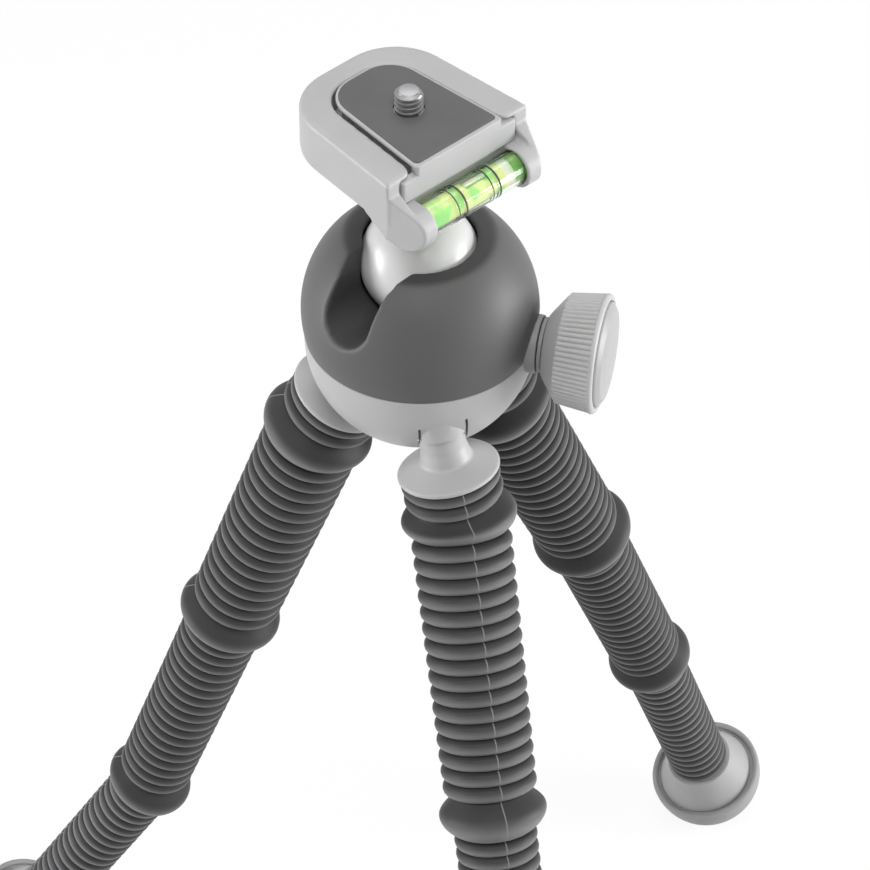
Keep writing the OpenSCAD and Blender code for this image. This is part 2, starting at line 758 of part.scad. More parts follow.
// Seat ring that carries the sleeve
module seat_ring(i) {
    half = 2;
    rod(bore_r[i] - free_gap, -half, half);
}
module flange_root(leg) {
    color(pale_grey) difference() {
        union() {
            at_flange(leg) {
                rod(neck_r, -eps, neck_len);
                cone(neck_r, neck_foot_r, neck_cone, 0);
                cone(neck_foot_r, leg_flange_r, flange_cone, 0);
                rod(leg_flange_r, -flange_edge, eps);
                rod(rod_r[0], meet_gap - root_len, 0);
            }
            at_section(leg, 0) {
                sphere(bore_r[0] - free_gap);
                rod(rod_r[0], -quarter, -meet_gap);
                translate([0, 0, -quarter]) sphere(socket_out(0));
            }
        }
        at_flange(leg) rod(leg_thread_r, neck_len - leg_bite - free_gap, through);
        at_section(leg, 0) translate([0, 0, -quarter]) socket_hollow(0);
    }
}
// Link inside one section, from its upper joint to its lower joint
module straight_link(leg, i) {
    color([0.25, 0.25, 0.26]) at_section(leg, i) difference() {
        union() {
            translate([0, 0, -quarter]) joint_ball(i, rod_r[i]);
            rod(rod_r[i], -quarter - joint_reach(i, rod_r[i]) + eps, -3 * quarter);
            translate([0, 0, -2 * quarter]) seat_ring(i);
            translate([0, 0, -3 * quarter]) sphere(socket_out(i));
        }
        translate([0, 0, -3 * quarter]) socket_hollow(i);
    }
}
// Link through the collar under section i, from that section's lower joint to the next one's upper joint
module collar_link(leg, i) {
    color([0.25, 0.25, 0.26]) difference() {
        union() {
            at_section(leg, i) {
                translate([0, 0, -3 * quarter]) joint_ball(i, rod_r[i + 1]);
                rod(rod_r[i + 1], -3 * quarter - joint_reach(i, rod_r[i + 1]) + eps, meet_gap - seg_len);
            }
            at_section(leg, i + 1) {
                sphere(bore_r[i + 1] - free_gap);
                rod(rod_r[i + 1], -quarter, -meet_gap);
                translate([0, 0, -quarter]) sphere(socket_out(i + 1));
            }
        }
        at_section(leg, i + 1) translate([0, 0, -quarter]) socket_hollow(i + 1);
    }
}
module at_foot(leg) {
    at_section(leg, 2) translate([0, 0, -seg_len]) children();
}
module foot_core(leg) {
    foot_disc_r = foot_r - foot_rim - foot_groove;
    color([0.78, 0.78, 0.78]) {
        at_section(leg, 2) {
            translate([0, 0, -3 * quarter]) joint_ball(2, rod_r[2]);
            rod(rod_r[2], -seg_len, -3 * quarter - joint_reach(2, rod_r[2]) + eps);
        }
        at_foot(leg) {
            cone(foot_neck_r, foot_disc_r, foot_cone, foot_edge);
            rod(foot_disc_r, 0, foot_edge + eps);
            rod(foot_plug_r, -foot_plug, eps);
        }
    }
}
module foot_pad(leg) {
    color([0.7, 0.7, 0.7]) at_foot(leg) difference() {
        union() {
            sphere(foot_r);
            rod(foot_r, 0, foot_edge);
        }
        rod(foot_r - foot_rim, 0, foot_r + eps);
        rod(foot_r + eps, foot_edge, foot_r + eps);
        rod(foot_plug_r + run_gap, -foot_plug - run_gap, foot_r);
    }
}

quick_plate();
plate_pad();
camera_screw();
receiver();
level_tube();
level_fluid();
level_plugs();
ball();
stem();
stem_screw();
socket_dome();
base_cup();
shell_screws();
leg_screws();
ball_seat();
knob_bush();
thrust_washer();
clamp_screw();
knob_body();
knob_cap();
for (leg = LEGS) {
    flange_root(leg);
    straight_link(leg, 0);
    collar_link(leg, 0);
    straight_link(leg, 1);
    collar_link(leg, 1);
    straight_link(leg, 2);
    sleeve_upper(leg);
    sleeve_middle(leg);
    sleeve_lower(leg);
    foot_core(leg);
    foot_pad(leg);
}
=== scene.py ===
"""Flexible leg tripod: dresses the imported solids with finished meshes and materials."""
import json
import math

import bmesh
import bpy
from mathutils import Matrix, Vector


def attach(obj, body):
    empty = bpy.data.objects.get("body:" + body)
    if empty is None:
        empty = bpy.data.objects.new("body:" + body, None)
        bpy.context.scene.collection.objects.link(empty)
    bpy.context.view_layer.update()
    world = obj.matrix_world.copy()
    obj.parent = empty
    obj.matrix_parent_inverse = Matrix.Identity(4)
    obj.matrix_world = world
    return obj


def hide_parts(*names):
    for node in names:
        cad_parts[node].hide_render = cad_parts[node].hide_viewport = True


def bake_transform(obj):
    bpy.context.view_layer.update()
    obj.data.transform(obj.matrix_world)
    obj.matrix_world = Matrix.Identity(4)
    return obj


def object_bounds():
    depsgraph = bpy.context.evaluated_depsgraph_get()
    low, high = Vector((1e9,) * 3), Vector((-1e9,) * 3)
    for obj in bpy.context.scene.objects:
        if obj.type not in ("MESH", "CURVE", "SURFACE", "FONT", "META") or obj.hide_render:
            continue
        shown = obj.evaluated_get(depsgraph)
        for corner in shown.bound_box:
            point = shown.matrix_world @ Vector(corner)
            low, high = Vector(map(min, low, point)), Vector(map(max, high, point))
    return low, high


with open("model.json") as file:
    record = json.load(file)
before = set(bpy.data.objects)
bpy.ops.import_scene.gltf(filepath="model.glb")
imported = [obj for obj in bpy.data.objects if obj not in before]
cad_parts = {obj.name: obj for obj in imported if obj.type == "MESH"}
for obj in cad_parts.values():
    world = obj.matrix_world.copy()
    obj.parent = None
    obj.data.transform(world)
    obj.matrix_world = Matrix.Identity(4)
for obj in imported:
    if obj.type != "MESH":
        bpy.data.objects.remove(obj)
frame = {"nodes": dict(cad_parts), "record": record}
CAD_BOX = [list(corner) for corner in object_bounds()]

# Sizes in millimetres, as in the part's source
MM = 0.001
LEGS = (1, 2, 3)
RUN_GAP = 0.05
FREE_GAP = 0.3
SCREW_R = 3.175
SCREW_UP = 5.0
SHANK_R = 2.6
SCREW_HEAD_R = 6.0
SCREW_HEAD_T = 1.6
PAD_HALF_W = 12.0
PAD_FRONT = 15.2
PAD_REAR = 16.3
PAD_CORNER = 7.5
PAD_T = 1.4
SIDE_TAPER = 0.08
RIM_W = 1.0
RIM_DROP = 0.35
PLATE_T = 8.0
LIP_T = 5.3
LIP_W = 3.6
SLIDE_GAP = 0.3
RECEIVER_HALF_W = 20.7
RECEIVER_FRONT = 15.4
RECEIVER_REAR = 23.3
RECEIVER_CORNER = 13.7
RECEIVER_TOP = 1.2
RECEIVER_DEPTH = 14.5
LEVEL_X = 18.7
LEVEL_DROP = 12.9
LEVEL_R = 3.9
LEVEL_WALL = 0.8
LEVEL_LEN = 26.8
LEVEL_SEAT = 2.4
PLUG_LEN = 2.6
EAR_R = 5.0
EAR_HALF_W = 17.3
EAR_RUN = 8.0
BUBBLE_LEN = 5.0
BUBBLE_R = 1.3
BALL_R = 13.6
BALL_H = 19.7
BALL_X = 3.4
PAD_OVER_BALL = 40.5
SPIGOT_R = 4.0
STEM_HEAD_R = 5.4
STEM_HEAD_T = 2.2
DOME_R = 26.8
DOME_RISE = 6.0
DOME_TOP = BALL_H + 6.9
NOTCH_AZ = -86.0
NOTCH_W = 12.4
NOTCH_FLOOR = BALL_H - 9.0
CUP_CENTRE = 1.4
CUP_DEPTH = 24.5
ROOM_R = 20.0
ROOM_DEPTH = 8.0
ROOM_UP = 4.6
SEAT_R = 10.0
KNOB_AZ = 32.9
KNOB_H = BALL_H - 19.2
KNOB_FACE = 43.8
KNOB_BAND = 9.4
KNOB_RIBS = 68
CAP_R = 11.9
CAP_T = 3.2
BUSH_R = 6.3
BUSH_OUT = 27.8
BUSH_LEN = 9.0
CLAMP_R = 2.5
WASHER_T = 0.8
FIRST_LEG_AZ = -27.0
FLANGE_RING_R = (22.3, 21.0, 18.5)
FLANGE_DROP = 23.0
ROOT_TILT = (12.0, 16.0, 26.0)
ROOT_LEAN = (7.6, -1.2, 0.0)
ROOT_LEN = 13.2
NECK_R = 5.3
NECK_FOOT_R = 6.2
NECK_LEN = 13.0
NECK_CONE = 6.0
CUFF_T = 0.8
CUFF_LOW = 10.2
CUFF_HIGH = 15.0
LEG_FLANGE_R = 11.7
FLANGE_CONE = 2.6
FLANGE_EDGE = 1.0
SLIT_W = 0.6
SLIT_LEN = 8.5
SEG_LEN = 71.0
UPPER_TILTS = ((28.4, 24.0), (25.5, 24.2), (19.6, 19.6))
FOOT_TILT = 22.6
LEANS = ((-1.3, 0.0, 0.0), (-1.2, 0.5, 0.5), (-1.3, -1.3, -1.3))
COLLAR_R = (13.3, 12.5, 10.8)
COLLAR_HALF = 4.8
SLEEVE_TOP_R = (11.6, 9.7, 8.1)
SLEEVE_END_R = (10.9, 9.3, 7.9)
RIB_DEPTH = (1.9, 1.5, 0.8)
RIBS = (16, 18, 18)
BORE_R = (8.8, 7.3, 6.2)
STUB_R = 11.4
JOINT_R = (6.4, 5.0, 4.0)
JOINT_NECK_R = (2.6, 2.0, 1.6)
ROD_R = (5.6, 4.8, 4.2)
SLEEVE_GAP = 0.4
MOUTH_ANGLE = 65.0
FOOT_R = 14.8
FOOT_CONE = 9.0
FOOT_NECK_R = 8.9
FOOT_RIM = 1.5
FOOT_GROOVE = 0.9
FOOT_PLUG_R = 6.0
FOOT_PLUG = 6.0

QUARTER = SEG_LEN / 4
SEAM_DROP = BALL_H + PAD_OVER_BALL
SEAM_R = math.sqrt(DOME_R ** 2 - DOME_RISE ** 2)
CUP_R = math.hypot(SEAM_R, CUP_CENTRE)
PLATE_FLOOR = -PLATE_T
RECEIVER_FLOOR = PLATE_FLOOR - SLIDE_GAP
LIP_UNDER = PLATE_FLOOR + LIP_T + SLIDE_GAP

# How far cuts reach beyond the piece they cut
MARGIN = 1.0
CUT_TOP = 5.0
CUT_FLOOR = -30.0
CUT_REACH = 30.0
CUT_OUT = 60.0

# Steps round turned pieces, from the widest to the hidden ones
WIDE_ROUND = 128
ROUND = 96
SMALL_ROUND = 64
HIDDEN_ROUND = 48

# Mesh tolerances in millimetres, and the angle from which an edge is shaded as sharp
MERGE_DISTANCE = 1e-4
SAME_HEIGHT = 1e-3
SHARP = 38.0


# Frames of the housing, the knob and the legs
def turn(axis, degrees):
    return Matrix.Rotation(math.radians(degrees), 4, axis)


def shift(x, y, z):
    return Matrix.Translation((x, y, z))


DOME = shift(BALL_X, 0, -SEAM_DROP)
BUSH_WAY = turn("Z", KNOB_AZ) @ shift(0, 0, KNOB_H) @ turn("Y", 90)
KNOB = DOME @ BUSH_WAY
LEVEL = shift(LEVEL_X, 0, -LEVEL_DROP) @ turn("X", 90)


def fall(tilt, lean):
    return math.cos(math.radians(tilt)) * math.cos(math.radians(lean))


def upper_fall(k):
    sections = sum(fall(UPPER_TILTS[k][i], LEANS[k][i]) for i in (0, 1))
    return ROOT_LEN * fall(ROOT_TILT[k], ROOT_LEAN[k]) + SEG_LEN * sections


def last_tilt(k):
    """Tilt of a leg's last section that brings its foot to the common floor."""
    foot_fall = upper_fall(1) + SEG_LEN * fall(FOOT_TILT, LEANS[1][2])
    rest = (foot_fall - upper_fall(k)) / SEG_LEN
    return math.degrees(math.acos(rest / math.cos(math.radians(LEANS[k][2]))))


TILTS = [UPPER_TILTS[k] + (last_tilt(k),) for k in range(3)]


def leg_turn(leg, tilt, lean):
    return turn("Z", FIRST_LEG_AZ + 120 * (leg - 1)) @ turn("Y", -tilt) @ turn("X", lean)


def flange_frame(leg):
    k = leg - 1
    place = DOME @ turn("Z", FIRST_LEG_AZ + 120 * k) @ Vector((FLANGE_RING_R[k], 0, -FLANGE_DROP))
    return shift(*place) @ leg_turn(leg, ROOT_TILT[k], ROOT_LEAN[k])


def above_frame(leg, section):
    """Frame at a section's collar that still follows what is above it."""
    if section == 0:
        return flange_frame(leg) @ shift(0, 0, -ROOT_LEN)
    return section_frame(leg, section - 1) @ shift(0, 0, -SEG_LEN)


def section_frame(leg, section):
    """Frame at a section's collar, with the section running down its own Z."""
    place = above_frame(leg, section).translation
    return shift(*place) @ leg_turn(leg, TILTS[leg - 1][section], LEANS[leg - 1][section])


def socket_in(section):
    return JOINT_R[section] + FREE_GAP


def socket_out(section):
    return BORE_R[section] - SLEEVE_GAP


# Mesh helpers, all in millimetres until a piece is finished
def clamped(value):
    return min(1, max(0, value))


def eased(value):
    """Smooth step from 0 to 1."""
    share = clamped(value)
    return share * share * (3 - 2 * share)


def evenly(first, last, steps):
    """Evenly spaced values from the first to the last."""
    return [first + (last - first) * i / steps for i in range(steps + 1)]


def arc(x, y, r, first, last, steps):
    """Points on a circle, from one angle in degrees to another."""
    angles = [math.radians(a) for a in evenly(first, last, steps)]
    return [(x + r * math.cos(a), y + r * math.sin(a)) for a in angles]


def circle(x, y, r, steps=SMALL_ROUND):
    return arc(x, y, r, 0, 360, steps)[:-1]


def rounded_path(corners, closed=True, steps=6):
    """Outline through corners (x, y, radius), each rounded by an arc of that radius."""
    path = []
    count = len(corners)
    for i, (x, y, radius) in enumerate(corners):
        here = Vector((x, y))
        if radius == 0 or (not closed and i in (0, count - 1)):
            path.append((x, y))
            continue
        to_last = (Vector(corners[i - 1][:2]) - here).normalized()
        to_next = (Vector(corners[(i + 1) % count][:2]) - here).normalized()
        half = to_last.angle(to_next) / 2
        centre = here + (to_last + to_next).normalized() * radius / math.sin(half)
        start = here + to_last * radius / math.tan(half) - centre
        end = here + to_next * radius / math.tan(half) - centre
        sweep = start.angle_signed(end)
        for k in range(steps + 1):
            point = start.copy()
            point.rotate(Matrix.Rotation(-sweep * k / steps, 2))
            path.append(tuple(centre + point))
    return path


def tidy(bm):
    bmesh.ops.remove_doubles(bm, verts=bm.verts, dist=MERGE_DISTANCE)
    bmesh.ops.recalc_face_normals(bm, faces=bm.faces)
    return bm


def lathe(points, steps=ROUND):
    """Profile of (radius, height) points spun about Z."""
    bm = bmesh.new()
    verts = [bm.verts.new((r, 0, z)) for r, z in points]
    edges = [bm.edges.new(pair) for pair in zip(verts, verts[1:])]
    bmesh.ops.spin(
        bm, geom=verts + edges, axis=(0, 0, 1), cent=(0, 0, 0), angle=2 * math.pi, steps=steps, use_merge=True
    )
    return tidy(bm)


def rod(r, low, high, steps=HIDDEN_ROUND):
    """Plain cylinder about Z."""
    return lathe([(0, low), (r, low), (r, high), (0, high)], steps)


def ring(inner, outer, low, high):
    """Plain tube about Z."""
    wall = [(inner, low), (outer, low), (outer, high), (inner, high), (inner, low)]
    return lathe(wall, SMALL_ROUND)


def sphere(r, around, rings):
    bm = bmesh.new()
    bmesh.ops.create_uvsphere(bm, u_segments=around, v_segments=rings, radius=r)
    return bm


def prism(outline, low, high):
    """Outline in X and Y drawn up from one height to another."""
    bm = bmesh.new()
    face = bm.faces.new([bm.verts.new((x, y, low)) for x, y in outline])
    drawn = bmesh.ops.extrude_face_region(bm, geom=[face])["geom"]
    verts = [v for v in drawn if isinstance(v, bmesh.types.BMVert)]
    bmesh.ops.translate(bm, vec=(0, 0, high - low), verts=verts)
    return tidy(bm)


def round_rim(bm, height, radius, segments=4):
    """Rounds the outline edges of a prism that lie at one height."""
    rim = [e for e in bm.edges if all(abs(v.co.z - height) < SAME_HEIGHT for v in e.verts)]
    bmesh.ops.bevel(
        bm, geom=rim, offset=radius, segments=segments, profile=0.5, affect="EDGES", material=-1,
        clamp_overlap=True
    )
    return bm


def moved(bm, matrix):
    bmesh.ops.transform(bm, matrix=matrix, verts=bm.verts)
    return bm


def mesh_of(name, bm):
    mesh = bpy.data.meshes.new(name)
    bm.to_mesh(mesh)
    bm.free()
    return mesh


def linked(name, data):
    """New object in the scene that holds some data."""
    obj = bpy.data.objects.new(name, data)
    bpy.context.scene.collection.objects.link(obj)
    return obj


def joined(*parts):
    """One bmesh that holds several separate shells."""
    whole = bmesh.new()
    for bm in parts:
        mesh = mesh_of("shell", bm)
        whole.from_mesh(mesh)
        bpy.data.meshes.remove(mesh)
    return whole


def loose_object(bm):
    return linked("loose", mesh_of("loose", bm))


def evaluated(obj, *helpers):
    """The object's mesh with its modifiers applied, and the objects it needed removed."""
    bpy.context.view_layer.update()
    graph = bpy.context.evaluated_depsgraph_get()
    bm = bmesh.new()
    bm.from_mesh(obj.evaluated_get(graph).to_mesh())
    for used in (obj,) + helpers:
        mesh = used.data
        bpy.data.objects.remove(used)
        bpy.data.meshes.remove(mesh)
    return bm


def combined(bm, other, operation):
    """Boolean of two closed meshes: UNION, DIFFERENCE or INTERSECT."""
    body, tool = loose_object(bm), loose_object(other)
    step = body.modifiers.new("combine", "BOOLEAN")
    step.operation = operation
    step.solver = "EXACT"
    step.object = tool
    return evaluated(body, tool)


def softened(bm, voxel, passes):
    """Remeshed to an even grid and relaxed, which rounds every edge alike."""
    body = loose_object(bm)
    remesh = body.modifiers.new("grid", "REMESH")
    remesh.mode = "VOXEL"
    remesh.voxel_size = voxel
    relax = body.modifiers.new("relax", "SMOOTH")
    relax.factor = 0.5
    relax.iterations = passes
    return evaluated(body)


def finish_piece(name, bm, material, sharp=SHARP, matrix=None):
    """Places a mesh in the frame in metres and gives it its material and smooth shading."""
    moved(bm, Matrix.Scale(MM, 4) @ (matrix or Matrix.Identity(4)))
    for face in bm.faces:
        face.smooth = True
    for edge in bm.edges:
        if len(edge.link_faces) == 2 and edge.calc_face_angle(0) > math.radians(sharp):
            edge.smooth = False
    mesh = mesh_of(name, bm)
    mesh.materials.append(material)
    obj = linked(name, mesh)
    return obj


def rigid(name, bm, material, slot, body, *nodes, matrix=None, sharp=SHARP):
    """Finishes a piece that rides on one body and stands for the CAD nodes named."""
    obj = finish_piece(name, bm, material, sharp, matrix)
    if nodes:
        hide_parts(*nodes)
    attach(obj, body)
    return obj


# Materials
DRIFT_SCALE = 70.0
GLOSS_DRIFT = 0.06
RELIEF = 0.35
LEVEL_IOR = 1.36
LEVEL_PATCHES = 260.0
MIX_FACTOR, MIX_PLAIN, MIX_OTHER, MIX_RESULT = 0, 6, 7, 2


def set_inputs(node, values):
    for name, value in values.items():
        node.inputs[name].default_value = value


def new_material(name):
    """New material with its nodes, its links and its shader."""
    material = bpy.data.materials.new(name)
    material.use_nodes = True
    nodes, links = material.node_tree.nodes, material.node_tree.links
    return material, nodes, links, nodes["Principled BSDF"]


def two_tones(nodes, low_at, high_at, low, high):
    """Colour ramp from one tone to another."""
    ramp = nodes.new("ShaderNodeValToRGB")
    first, last = ramp.color_ramp.elements
    first.position, last.position = low_at, high_at
    first.color = tuple(low) + (1,)
    last.color = tuple(high) + (1,)
    return ramp


def grain_group():
    """Fine moulded grain, with a slow drift of tone across the surface."""
    group = bpy.data.node_groups.new("moulded_grain", "ShaderNodeTree")
    group.interface.new_socket("Scale", in_out="INPUT", socket_type="NodeSocketFloat")
    group.interface.new_socket("Height", in_out="OUTPUT", socket_type="NodeSocketFloat")
    group.interface.new_socket("Drift", in_out="OUTPUT", socket_type="NodeSocketFloat")
    nodes, links = group.nodes, group.links
    entry = nodes.new("NodeGroupInput")
    exit_node = nodes.new("NodeGroupOutput")
    place = nodes.new("ShaderNodeTexCoord")
    fine = nodes.new("ShaderNodeTexNoise")
    set_inputs(fine, {"Detail": 3.0})
    slow = nodes.new("ShaderNodeTexNoise")
    set_inputs(slow, {"Scale": DRIFT_SCALE, "Detail": 2.0})
    links.new(place.outputs["Object"], fine.inputs["Vector"])
    links.new(entry.outputs["Scale"], fine.inputs["Scale"])
    links.new(place.outputs["Object"], slow.inputs["Vector"])
    links.new(fine.outputs["Fac"], exit_node.inputs["Height"])
    links.new(slow.outputs["Fac"], exit_node.inputs["Drift"])
    return group


GRAIN = grain_group()


def moulded(name, tone, spread=0.03, roughness=0.45, grain=2500.0, depth=0.04, specular=0.5):
    """Moulded plastic or rubber: a tone and a gloss with a slow drift, and fine grain in its relief."""
    material, nodes, links, shader = new_material(name)
    set_inputs(shader, {"Specular IOR Level": specular})
    texture = nodes.new("ShaderNodeGroup")
    texture.node_tree = GRAIN
    set_inputs(texture, {"Scale": grain})
    low = [c * (1 - spread) for c in tone]
    high = [min(1, c * (1 + spread)) for c in tone]
    colour = two_tones(nodes, 0.3, 0.7, low, high)
    gloss = nodes.new("ShaderNodeMapRange")
    set_inputs(gloss, {"To Min": roughness - GLOSS_DRIFT, "To Max": roughness + GLOSS_DRIFT})
    relief = nodes.new("ShaderNodeBump")
    set_inputs(relief, {"Strength": RELIEF, "Distance": depth * MM})
    links.new(texture.outputs["Drift"], colour.inputs["Fac"])
    links.new(colour.outputs["Color"], shader.inputs["Base Color"])
    links.new(texture.outputs["Drift"], gloss.inputs["Value"])
    links.new(gloss.outputs["Result"], shader.inputs["Roughness"])
    links.new(texture.outputs["Height"], relief.inputs["Height"])
    links.new(relief.outputs["Normal"], shader.inputs["Normal"])
    return material


def grey(value):
    return (value, value, value)


PALE = moulded("pale_plastic", (0.485, 0.485, 0.49), roughness=0.42, specular=0.4)
KNOB_GREY = moulded("knob_plastic", grey(0.5), roughness=0.45, specular=0.4)
CAP_GREY = moulded("knob_cap_plastic", grey(0.385), roughness=0.4, specular=0.4)
BUSH_GREY = moulded("bush_plastic", grey(0.24), roughness=0.5, specular=0.4)
DOME_GREY = moulded("soft_touch_dome", grey(0.105), roughness=0.5, grain=4000.0, depth=0.03, specular=0.35)
PAD_GREY = moulded(
    "pad_rubber", grey(0.133), spread=0.08, roughness=0.7, grain=3000.0, depth=0.08, specular=0.3
)
BALL_WHITE = moulded("white_ball", grey(0.92), spread=0.01, roughness=0.25, depth=0.01)
FOOT_PALE = moulded("foot_plastic", grey(0.38), roughness=0.5, specular=0.4)
FOOT_RUBBER = moulded("foot_rubber", grey(0.33), roughness=0.6, specular=0.3)
LINK_BLACK = moulded("link_plastic", grey(0.03), roughness=0.5)


def tinted(material, attribute, low, high, tone):
    """Blends a second tone into a material where a vertex attribute rises from low to high."""
    nodes, links = material.node_tree.nodes, material.node_tree.links
    value = nodes.new("ShaderNodeAttribute")
    value.attribute_name = attribute
    share = nodes.new("ShaderNodeMapRange")
    set_inputs(share, {"From Min": low, "From Max": high})
    blend = nodes.new("ShaderNodeMix")
    blend.data_type = "RGBA"
    set_inputs(blend, {MIX_OTHER: tone + (1,)})
    shader = nodes["Principled BSDF"]
    before = shader.inputs["Base Color"].links[0].from_socket
    links.new(value.outputs["Fac"], share.inputs["Value"])
    links.new(share.outputs["Result"], blend.inputs[MIX_FACTOR])
    links.new(before, blend.inputs[MIX_PLAIN])
    links.new(blend.outputs[MIX_RESULT], shader.inputs["Base Color"])
    return material


MOULD_LINE = "mould_line"
PAINTED_RIB_LIGHT = "rib_painted_light"
RECESS_SHADE = "inside"
SLEEVE_GREY = moulded(
    "sleeve_rubber", grey(0.046), spread=0.08, roughness=0.5, grain=2200.0, depth=0.05, specular=0.15
)
# Painted light and shade: each rib's lower flank painted paler and its upper flank left dark, as light from
# below and the sides would fall.
tinted(SLEEVE_GREY, PAINTED_RIB_LIGHT, 0.0, 1.0, grey(0.225))
tinted(SLEEVE_GREY, MOULD_LINE, 0.88, 0.94, grey(0.27))
# Painted shade: the dome darker on its flat top, in the notch and in the cavity for the ball.
tinted(DOME_GREY, RECESS_SHADE, 0.0, 1.0, grey(0.06))

# Satin steel: the same fine grain, on metal
STEEL = moulded("turned_steel", (0.26, 0.26, 0.265), roughness=0.42, grain=6000.0, depth=0.03)
set_inputs(STEEL.node_tree.nodes["Principled BSDF"], {"Metallic": 1.0})


def level_material(name, yellow, green, clear, glow, roughness):
    """Tinted clear plastic whose tint drifts between two colours along the level; glow makes it emit light in
    that tint, a painted glow.
    """
    material, nodes, links, shader = new_material(name)
    set_inputs(shader, {
        "Transmission Weight": clear, "Roughness": roughness, "IOR": LEVEL_IOR, "Emission Strength": glow
    })
    place = nodes.new("ShaderNodeTexCoord")
    drift = nodes.new("ShaderNodeTexNoise")
    set_inputs(drift, {"Scale": LEVEL_PATCHES, "Detail": 1.0})
    tint = two_tones(nodes, 0.42, 0.58, yellow, green)
    links.new(place.outputs["Object"], drift.inputs["Vector"])
    links.new(drift.outputs["Fac"], tint.inputs["Fac"])
    links.new(tint.outputs["Color"], shader.inputs["Base Color"])
    links.new(tint.outputs["Color"], shader.inputs["Emission Color"])
    return material


GLASS = level_material("level_glass", (0.97, 1.0, 0.9), (0.9, 1.0, 0.86), 1.0, 0.0, 0.03)
WINDOW = level_material("level_window", (0.92, 0.95, 0.86), (0.8, 0.88, 0.76), 0.3, 0.0, 0.2)
# Painted glow: the fluid emits a little light of its own tint, as if lit from within.
GLOWING_FLUID = level_material("level_fluid", (0.9, 0.94, 0.48), (0.42, 0.82, 0.32), 0.4, 0.08, 0.12)
PLUG = level_material("level_plug", (0.26, 0.5, 0.14), (0.18, 0.42, 0.1), 0.2, 0.0, 0.3)


# Camera, light and floor
CAMERA_DISTANCE = 1000.0
CAMERA_ELEVATION = 42.2
CAMERA_TURN = 46.7
CAMERA_TARGET = Vector((3.3, 0.0, -32.9))
FOCAL_PX = 4350.0
PHOTO_PX = 870.0
SENSOR_MM = 36.0
AMBIENT = 0.04
FLOOR_WHITE = 0.86
FLOOR_GLOW = 1.05
FLOOR_SIZE = 6.0
FLOOR_DROP = 0.0002
LAMP_DISTANCE = 0.9
LAMP_AIM = Vector((0, 0, -0.12))

# Name, azimuth and elevation in degrees as seen from the photo's camera, width in metres, power in watts
LAMPS = (
    ("left_softbox", -85, 6, 0.45, 5.5), ("right_softbox", 90, 6, 0.45, 8.0),
    ("front_softbox", 0, -3, 0.3, 0.4), ("back_softbox", 180, 65, 0.6, 2.9),
    ("top_softbox", 0, 62, 0.5, 4.1),
)


def add_camera():
    to_row = DOME @ turn("Z", CAMERA_TURN)
    rise = math.radians(CAMERA_ELEVATION)
    away = Vector((0, -math.cos(rise), math.sin(rise)))
    data = bpy.data.cameras.new("photo_camera")
    data.sensor_width = SENSOR_MM
    data.lens = SENSOR_MM * FOCAL_PX / PHOTO_PX
    data.clip_end = 20
    camera = linked("photo_camera", data)
    spot = to_row @ (CAMERA_TARGET + away * CAMERA_DISTANCE)
    aim = to_row @ CAMERA_TARGET
    camera.rotation_euler = (aim - spot).to_track_quat("-Z", "Y").to_euler()
    camera.location = spot * MM
    bpy.context.scene.camera = camera


def add_lamp(name, azimuth, elevation, size, power):
    """Soft square lamp aimed at the head, placed as seen from the photo's camera."""
    data = bpy.data.lights.new(name, "AREA")
    data.size = size
    data.energy = power
    lamp = linked(name, data)
    side = math.radians(azimuth + CAMERA_TURN - 90)
    rise = math.radians(elevation)
    lamp.location = LAMP_AIM + LAMP_DISTANCE * Vector(
        (math.cos(side) * math.cos(rise), math.sin(side) * math.cos(rise), math.sin(rise))
    )
    lamp.rotation_euler = (LAMP_AIM - lamp.location).to_track_quat("-Z", "Y").to_euler()


def white_where_seen(nodes, links, white_share):
    """Share of plain white for what the camera, mirrors and glass see, and none for other rays."""
    path = nodes.new("ShaderNodeLightPath")
    seen = path.outputs["Is Camera Ray"]
    for ray in ("Is Glossy Ray", "Is Transmission Ray"):
        either = nodes.new("ShaderNodeMath")
        either.operation = "MAXIMUM"
        links.new(seen, either.inputs[0])
        links.new(path.outputs[ray], either.inputs[1])
        seen = either.outputs[0]
    share = nodes.new("ShaderNodeMath")
    share.operation = "MULTIPLY"
    share.inputs[1].default_value = white_share
    links.new(seen, share.inputs[0])
    return share.outputs[0]


def add_world():
    world = bpy.data.worlds.new("studio")
    bpy.context.scene.world = world
    world.use_nodes = True
    nodes, links = world.node_tree.nodes, world.node_tree.links
    background = nodes["Background"]
    set_inputs(background, {"Color": (1, 1, 1, 1)})
    strength = nodes.new("ShaderNodeMapRange")
    set_inputs(strength, {"To Min": AMBIENT, "To Max": 1.0})
    links.new(white_where_seen(nodes, links, 1.0), strength.inputs["Value"])
    links.new(strength.outputs["Result"], background.inputs["Strength"])


def add_floor():
    bm = bmesh.new()
    bmesh.ops.create_grid(bm, x_segments=2, y_segments=2, size=FLOOR_SIZE)
    bmesh.ops.translate(bm, vec=(0, 0, CAD_BOX[0][2] - FLOOR_DROP), verts=bm.verts)
    mesh = mesh_of("floor", bm)
    material, nodes, links, shader = new_material("pale_floor")
    set_inputs(shader, {"Base Color": (0.9, 0.9, 0.9, 1), "Roughness": 0.9, "Specular IOR Level": 0.0})
    glow = nodes.new("ShaderNodeEmission")
    set_inputs(glow, {"Strength": FLOOR_GLOW})
    mix = nodes.new("ShaderNodeMixShader")
    links.new(white_where_seen(nodes, links, FLOOR_WHITE), mix.inputs[0])
    links.new(shader.outputs[0], mix.inputs[1])
    links.new(glow.outputs[0], mix.inputs[2])
    links.new(mix.outputs[0], nodes["Material Output"].inputs["Surface"])
    mesh.materials.append(material)
    floor = linked("floor", mesh)


bpy.context.scene.view_settings.view_transform = "Standard"
add_camera()
add_world()
add_floor()
for lamp_values in LAMPS:
    add_lamp(*lamp_values)

